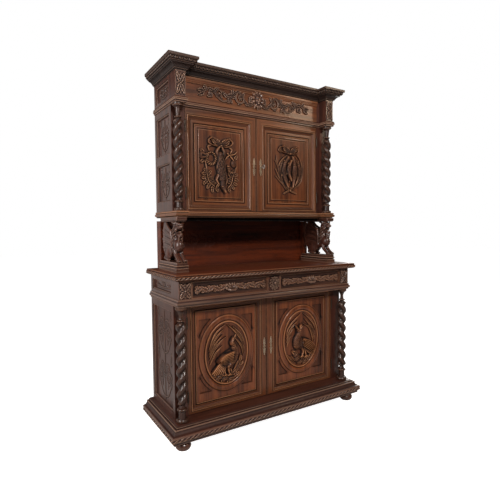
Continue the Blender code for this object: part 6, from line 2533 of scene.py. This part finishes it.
@dataclass
class Fittings:
    """Hinges, escutcheons, key and bolt."""

    hinge_radius: float = 0.0055

    def build(self, shop: Workshop) -> None:
        """Make the metal pieces.

        Args:
            shop: the workshop.
        """
        for tier in ("lower", "upper"):
            for side, _ in SIDES:
                for place in ("lower", "upper"):
                    node = f"{tier}_{side}_hinge_{place}"
                    low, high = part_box(node)
                    middle, h, r = (low + high) / 2, high.z - low.z, self.hinge_radius
                    section = Profile(low.z, 0.2 * r).curve(low.z + 0.08 * h, 0.3 * r, 0.42)
                    section.line(low.z + 0.09 * h, 0.9 * r)
                    section.line(low.z + 0.49 * h, 0.95 * r).line(low.z + 0.495 * h, 0.75 * r)
                    section.line(low.z + 0.505 * h, 0.75 * r)
                    section.line(low.z + 0.51 * h, 0.95 * r).line(low.z + 0.91 * h, 0.9 * r)
                    section.line(low.z + 0.92 * h, 0.3 * r)
                    section.curve(high.z, 0.2 * r, 0.42)
                    shop.add(f"{node}_turned", turned(section.points, middle.x, middle.y, 24), "cabinet",
                             DARK_IRON,
                             replaces=[node])
                node = f"{tier}_{side}_escutcheon"
                shop.add(f"{node}_pierced", self.plate(*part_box(node)), f"{tier}_{side}_door", PALE_BRASS,
                         replaces=[node],
                         sharp=50)
        shop.paint_solid("lock_key", STEEL, Grain.UP, 0.0)
        shop.paint_solid("lock_bolt", STEEL, Grain.UP, 0.0005)

    @staticmethod
    def plate(low: Vector, high: Vector) -> Skin:
        """Make a tall pierced keyhole plate of scrolls, filling a box.

        Args:
            low: the box's lowest corner.
            high: the box's highest corner.

        Returns:
            The skin.
        """
        half, rise, depth = (high.x - low.x) / 2, (high.z - low.z) / 2, high.y - low.y
        plate = Sculpt((-half - 0.001, -0.001, -rise - 0.001), (half + 0.001, depth + 0.001, rise + 0.001),
                       0.0007)
        middle = depth / 2
        plate.ball((0.0, middle, 0.0), (0.82 * half, depth, 0.20 * rise), 0.0005)
        for way in (-1, 1):
            for side in (-1, 1):
                for share, size in ((0.33, 0.46), (0.52, 0.38), (0.70, 0.30)):
                    ring = [(side * size * half * (1 + math.cos(a)), middle,
                             way * rise * (share + 0.085 * math.sin(a)))
                            for a in np.linspace(-2.6, 2.6, 9)]
                    plate.limb(ring, [0.0016] * len(ring), 0.0004)
            plate.limb([(0.0, middle, 0.0), (0.0, middle, way * 0.90 * rise)], (0.0020, 0.0014), 0.0004)
            plate.ball((0.0, middle, way * 0.89 * rise), (0.36 * half, depth, 0.10 * rise), 0.0004)
        plate.ball((0.0, middle, 0.0), (0.0036, 2 * depth, 0.0036), cut=True)
        plate.limb([(0.0, middle, 0.0), (0.0, middle, -0.0080)], (0.0016, 0.0022), cut=True)
        plate.d = np.maximum(np.maximum(plate.d, plate.y - depth), -plate.y)
        return plate.skin().moved((low.x + high.x) / 2, low.y, (low.z + high.z) / 2)


@dataclass
class Carcase:
    """The plain boards, left as packed, and the four columns."""

    columns: dict

    def build(self, shop: Workshop) -> None:
        """Finish the boards and make the columns.

        Args:
            shop: the workshop.
        """
        for tier in ("lower", "upper"):
            for side, way in SIDES:
                shop.paint_solid(f"{tier}_side_frame_{side}", DARK_OAK, Grain.UP)
                node = f"{tier}_column_{side}"
                low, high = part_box(node)
                middle = (low + high) / 2
                radius = (high.x - low.x) / 2.1
                column = TwistColumn(middle.x, middle.y, low.z, high.z, radius, -way, self.columns[tier],
                                     tier == "lower")
                shop.add(f"{node}_turned", column.skin(), "cabinet", TURNED_OAK, replaces=[node], worn=0.5)
            shop.paint_solid(f"{tier}_back_panel", PLAIN_OAK, Grain.ACROSS)
            shop.paint_solid(f"{tier}_shelf", PLAIN_OAK, Grain.ACROSS)
        shop.paint_solid("drawer_rail", DARK_OAK, Grain.ACROSS)


@dataclass
class Studio:
    """Camera, lights, floor and backdrop."""

    location: tuple = (-1.5955, -2.4945, 1.3244)
    yaw: float = 31.7218
    pitch: float = -3.0664
    roll: float = -0.4486
    lens: float = 29.718
    floor_size: float = 40.0

    def build(self) -> None:
        """Set up the studio."""
        self.add_camera()
        self.add_backdrop()
        self.add_light("key", (-0.8, -3.9, 3.5), (0.1, 0.0, 0.8), (0.8, 0.6), 178.0, (1.0, 0.92, 0.87))
        self.add_light("window_left", (-3.3, -0.7, 2.0), (-0.6, 0.0, 1.2), (1.3, 1.7), 112.0,
                       (1.0, 0.97, 0.95))
        self.add_light("window_back", (-3.2, 4.0, 1.8), (-0.7, 0.0, 1.2), (4.0, 3.6), 30.0, (1.0, 0.95, 0.90))
        self.add_light("lamp_right", (2.7, -2.7, 3.2), (0.3, 0.0, 1.6), (0.7, 0.6), 22.0, (1.0, 0.80, 0.58))
        self.add_light("window_right", (3.3, 1.4, 1.7), (0.6, 0.2, 1.2), (1.6, 1.8), 60.0, (1.0, 0.96, 0.92))
        bpy.context.scene.view_settings.view_transform = "Standard"

    def add_camera(self) -> None:
        """Stand the camera where the photograph was taken."""
        yaw, pitch, roll = (math.radians(a) for a in (self.yaw, self.pitch, self.roll))
        forward = Vector((math.sin(yaw) * math.cos(pitch), math.cos(yaw) * math.cos(pitch), math.sin(pitch)))
        right = Vector((math.cos(yaw), -math.sin(yaw), 0.0))
        up = right.cross(forward)
        right, up = (right * math.cos(roll) + up * math.sin(roll),
                     up * math.cos(roll) - right * math.sin(roll))
        data = bpy.data.cameras.new("camera")
        data.lens = self.lens
        data.sensor_width = 36.0
        camera = bpy.data.objects.new("camera", data)
        camera.matrix_world = Matrix.Translation(self.location) @ Matrix((right, up,
                -forward)).transposed().to_4x4()
        bpy.context.scene.collection.objects.link(camera)
        bpy.context.scene.camera = camera

    def add_backdrop(self) -> None:
        """Make a pale floor and a plain world that both show white."""
        half = self.floor_size / 2
        mesh = bpy.data.meshes.new("floor")
        mesh.from_pydata([(-half, -half, 0), (half, -half, 0), (half, half, 0), (-half, half, 0)], [],
                         [(0, 1, 2, 3)])
        material = bpy.data.materials.new("floor")
        material.use_nodes = True
        nodes = NodeTree(material.node_tree)
        shader = material.node_tree.nodes["Principled BSDF"]
        seen = nodes.add("ShaderNodeLightPath").outputs["Is Camera Ray"]
        shader.inputs["Base Color"].default_value = (0.62, 0.61, 0.60, 1.0)
        shader.inputs["Roughness"].default_value = 0.8
        shader.inputs["Emission Color"].default_value = (1.0, 1.0, 1.0, 1.0)
        nodes.tree.links.new(seen, shader.inputs["Emission Strength"])
        mesh.materials.append(material)
        floor = bpy.data.objects.new("floor", mesh)
        bpy.context.scene.collection.objects.link(floor)
        world = bpy.data.worlds.new("studio")
        world.use_nodes = True
        nodes = NodeTree(world.node_tree)
        background = world.node_tree.nodes["Background"]
        seen = nodes.add("ShaderNodeLightPath").outputs["Is Camera Ray"]
        colour = nodes.mix(seen, (0.024, 0.024, 0.025, 1.0), (1.0, 1.0, 1.0, 1.0))
        nodes.tree.links.new(colour, background.inputs["Color"])
        bpy.context.scene.world = world

    @staticmethod
    def add_light(name: str, place: Sequence[float], aim: Sequence[float], size: Point, power: float,
                  colour: Sequence[float]) -> None:
        """Hang a soft light.

        Args:
            name: its name.
            place: where it hangs.
            aim: what it points at.
            size: its width and height.
            power: its power in watts.
            colour: its colour.
        """
        data = bpy.data.lights.new(name, "AREA")
        data.shape = "RECTANGLE"
        data.size, data.size_y = size
        data.energy = power
        data.color = colour
        light = bpy.data.objects.new(name, data)
        light.location = place
        light.rotation_euler = (Vector(aim) - Vector(place)).to_track_quat("-Z", "Y").to_euler()
        bpy.context.scene.collection.objects.link(light)


def main() -> None:
    """Dress the frame and set up the studio."""
    logging.basicConfig(level=logging.INFO, format="%(message)s")
    for obj in list(bpy.data.objects):
        bpy.data.objects.remove(obj, do_unlink=True)
    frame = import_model()
    shop = Workshop(frame)
    rows = ornament_group()
    Base().build(shop, rows)
    Worktop().build(shop, rows)
    Crown().build(shop, rows)
    for side, _ in SIDES:
        LowerDoor("lower", side, 0.045).build(shop)
        UpperDoor("upper", side, 0.060).build(shop)
        Drawer(side).build(shop)
    Blocks().build(shop)
    SidePanels("lower", -0.094, 0.248, ((0.179, 0.812), (0.919, 0.986))).build(shop)
    SidePanels("upper", 0.016, 0.248, ((1.500, 1.743), (1.800, 2.052), (2.152, 2.261))).build(shop)
    Niche().build(shop)
    Fittings().build(shop)
    Carcase({"lower": 0.103, "upper": 0.076}).build(shop)
    Studio().build()


if __name__ == "__main__":
    main()
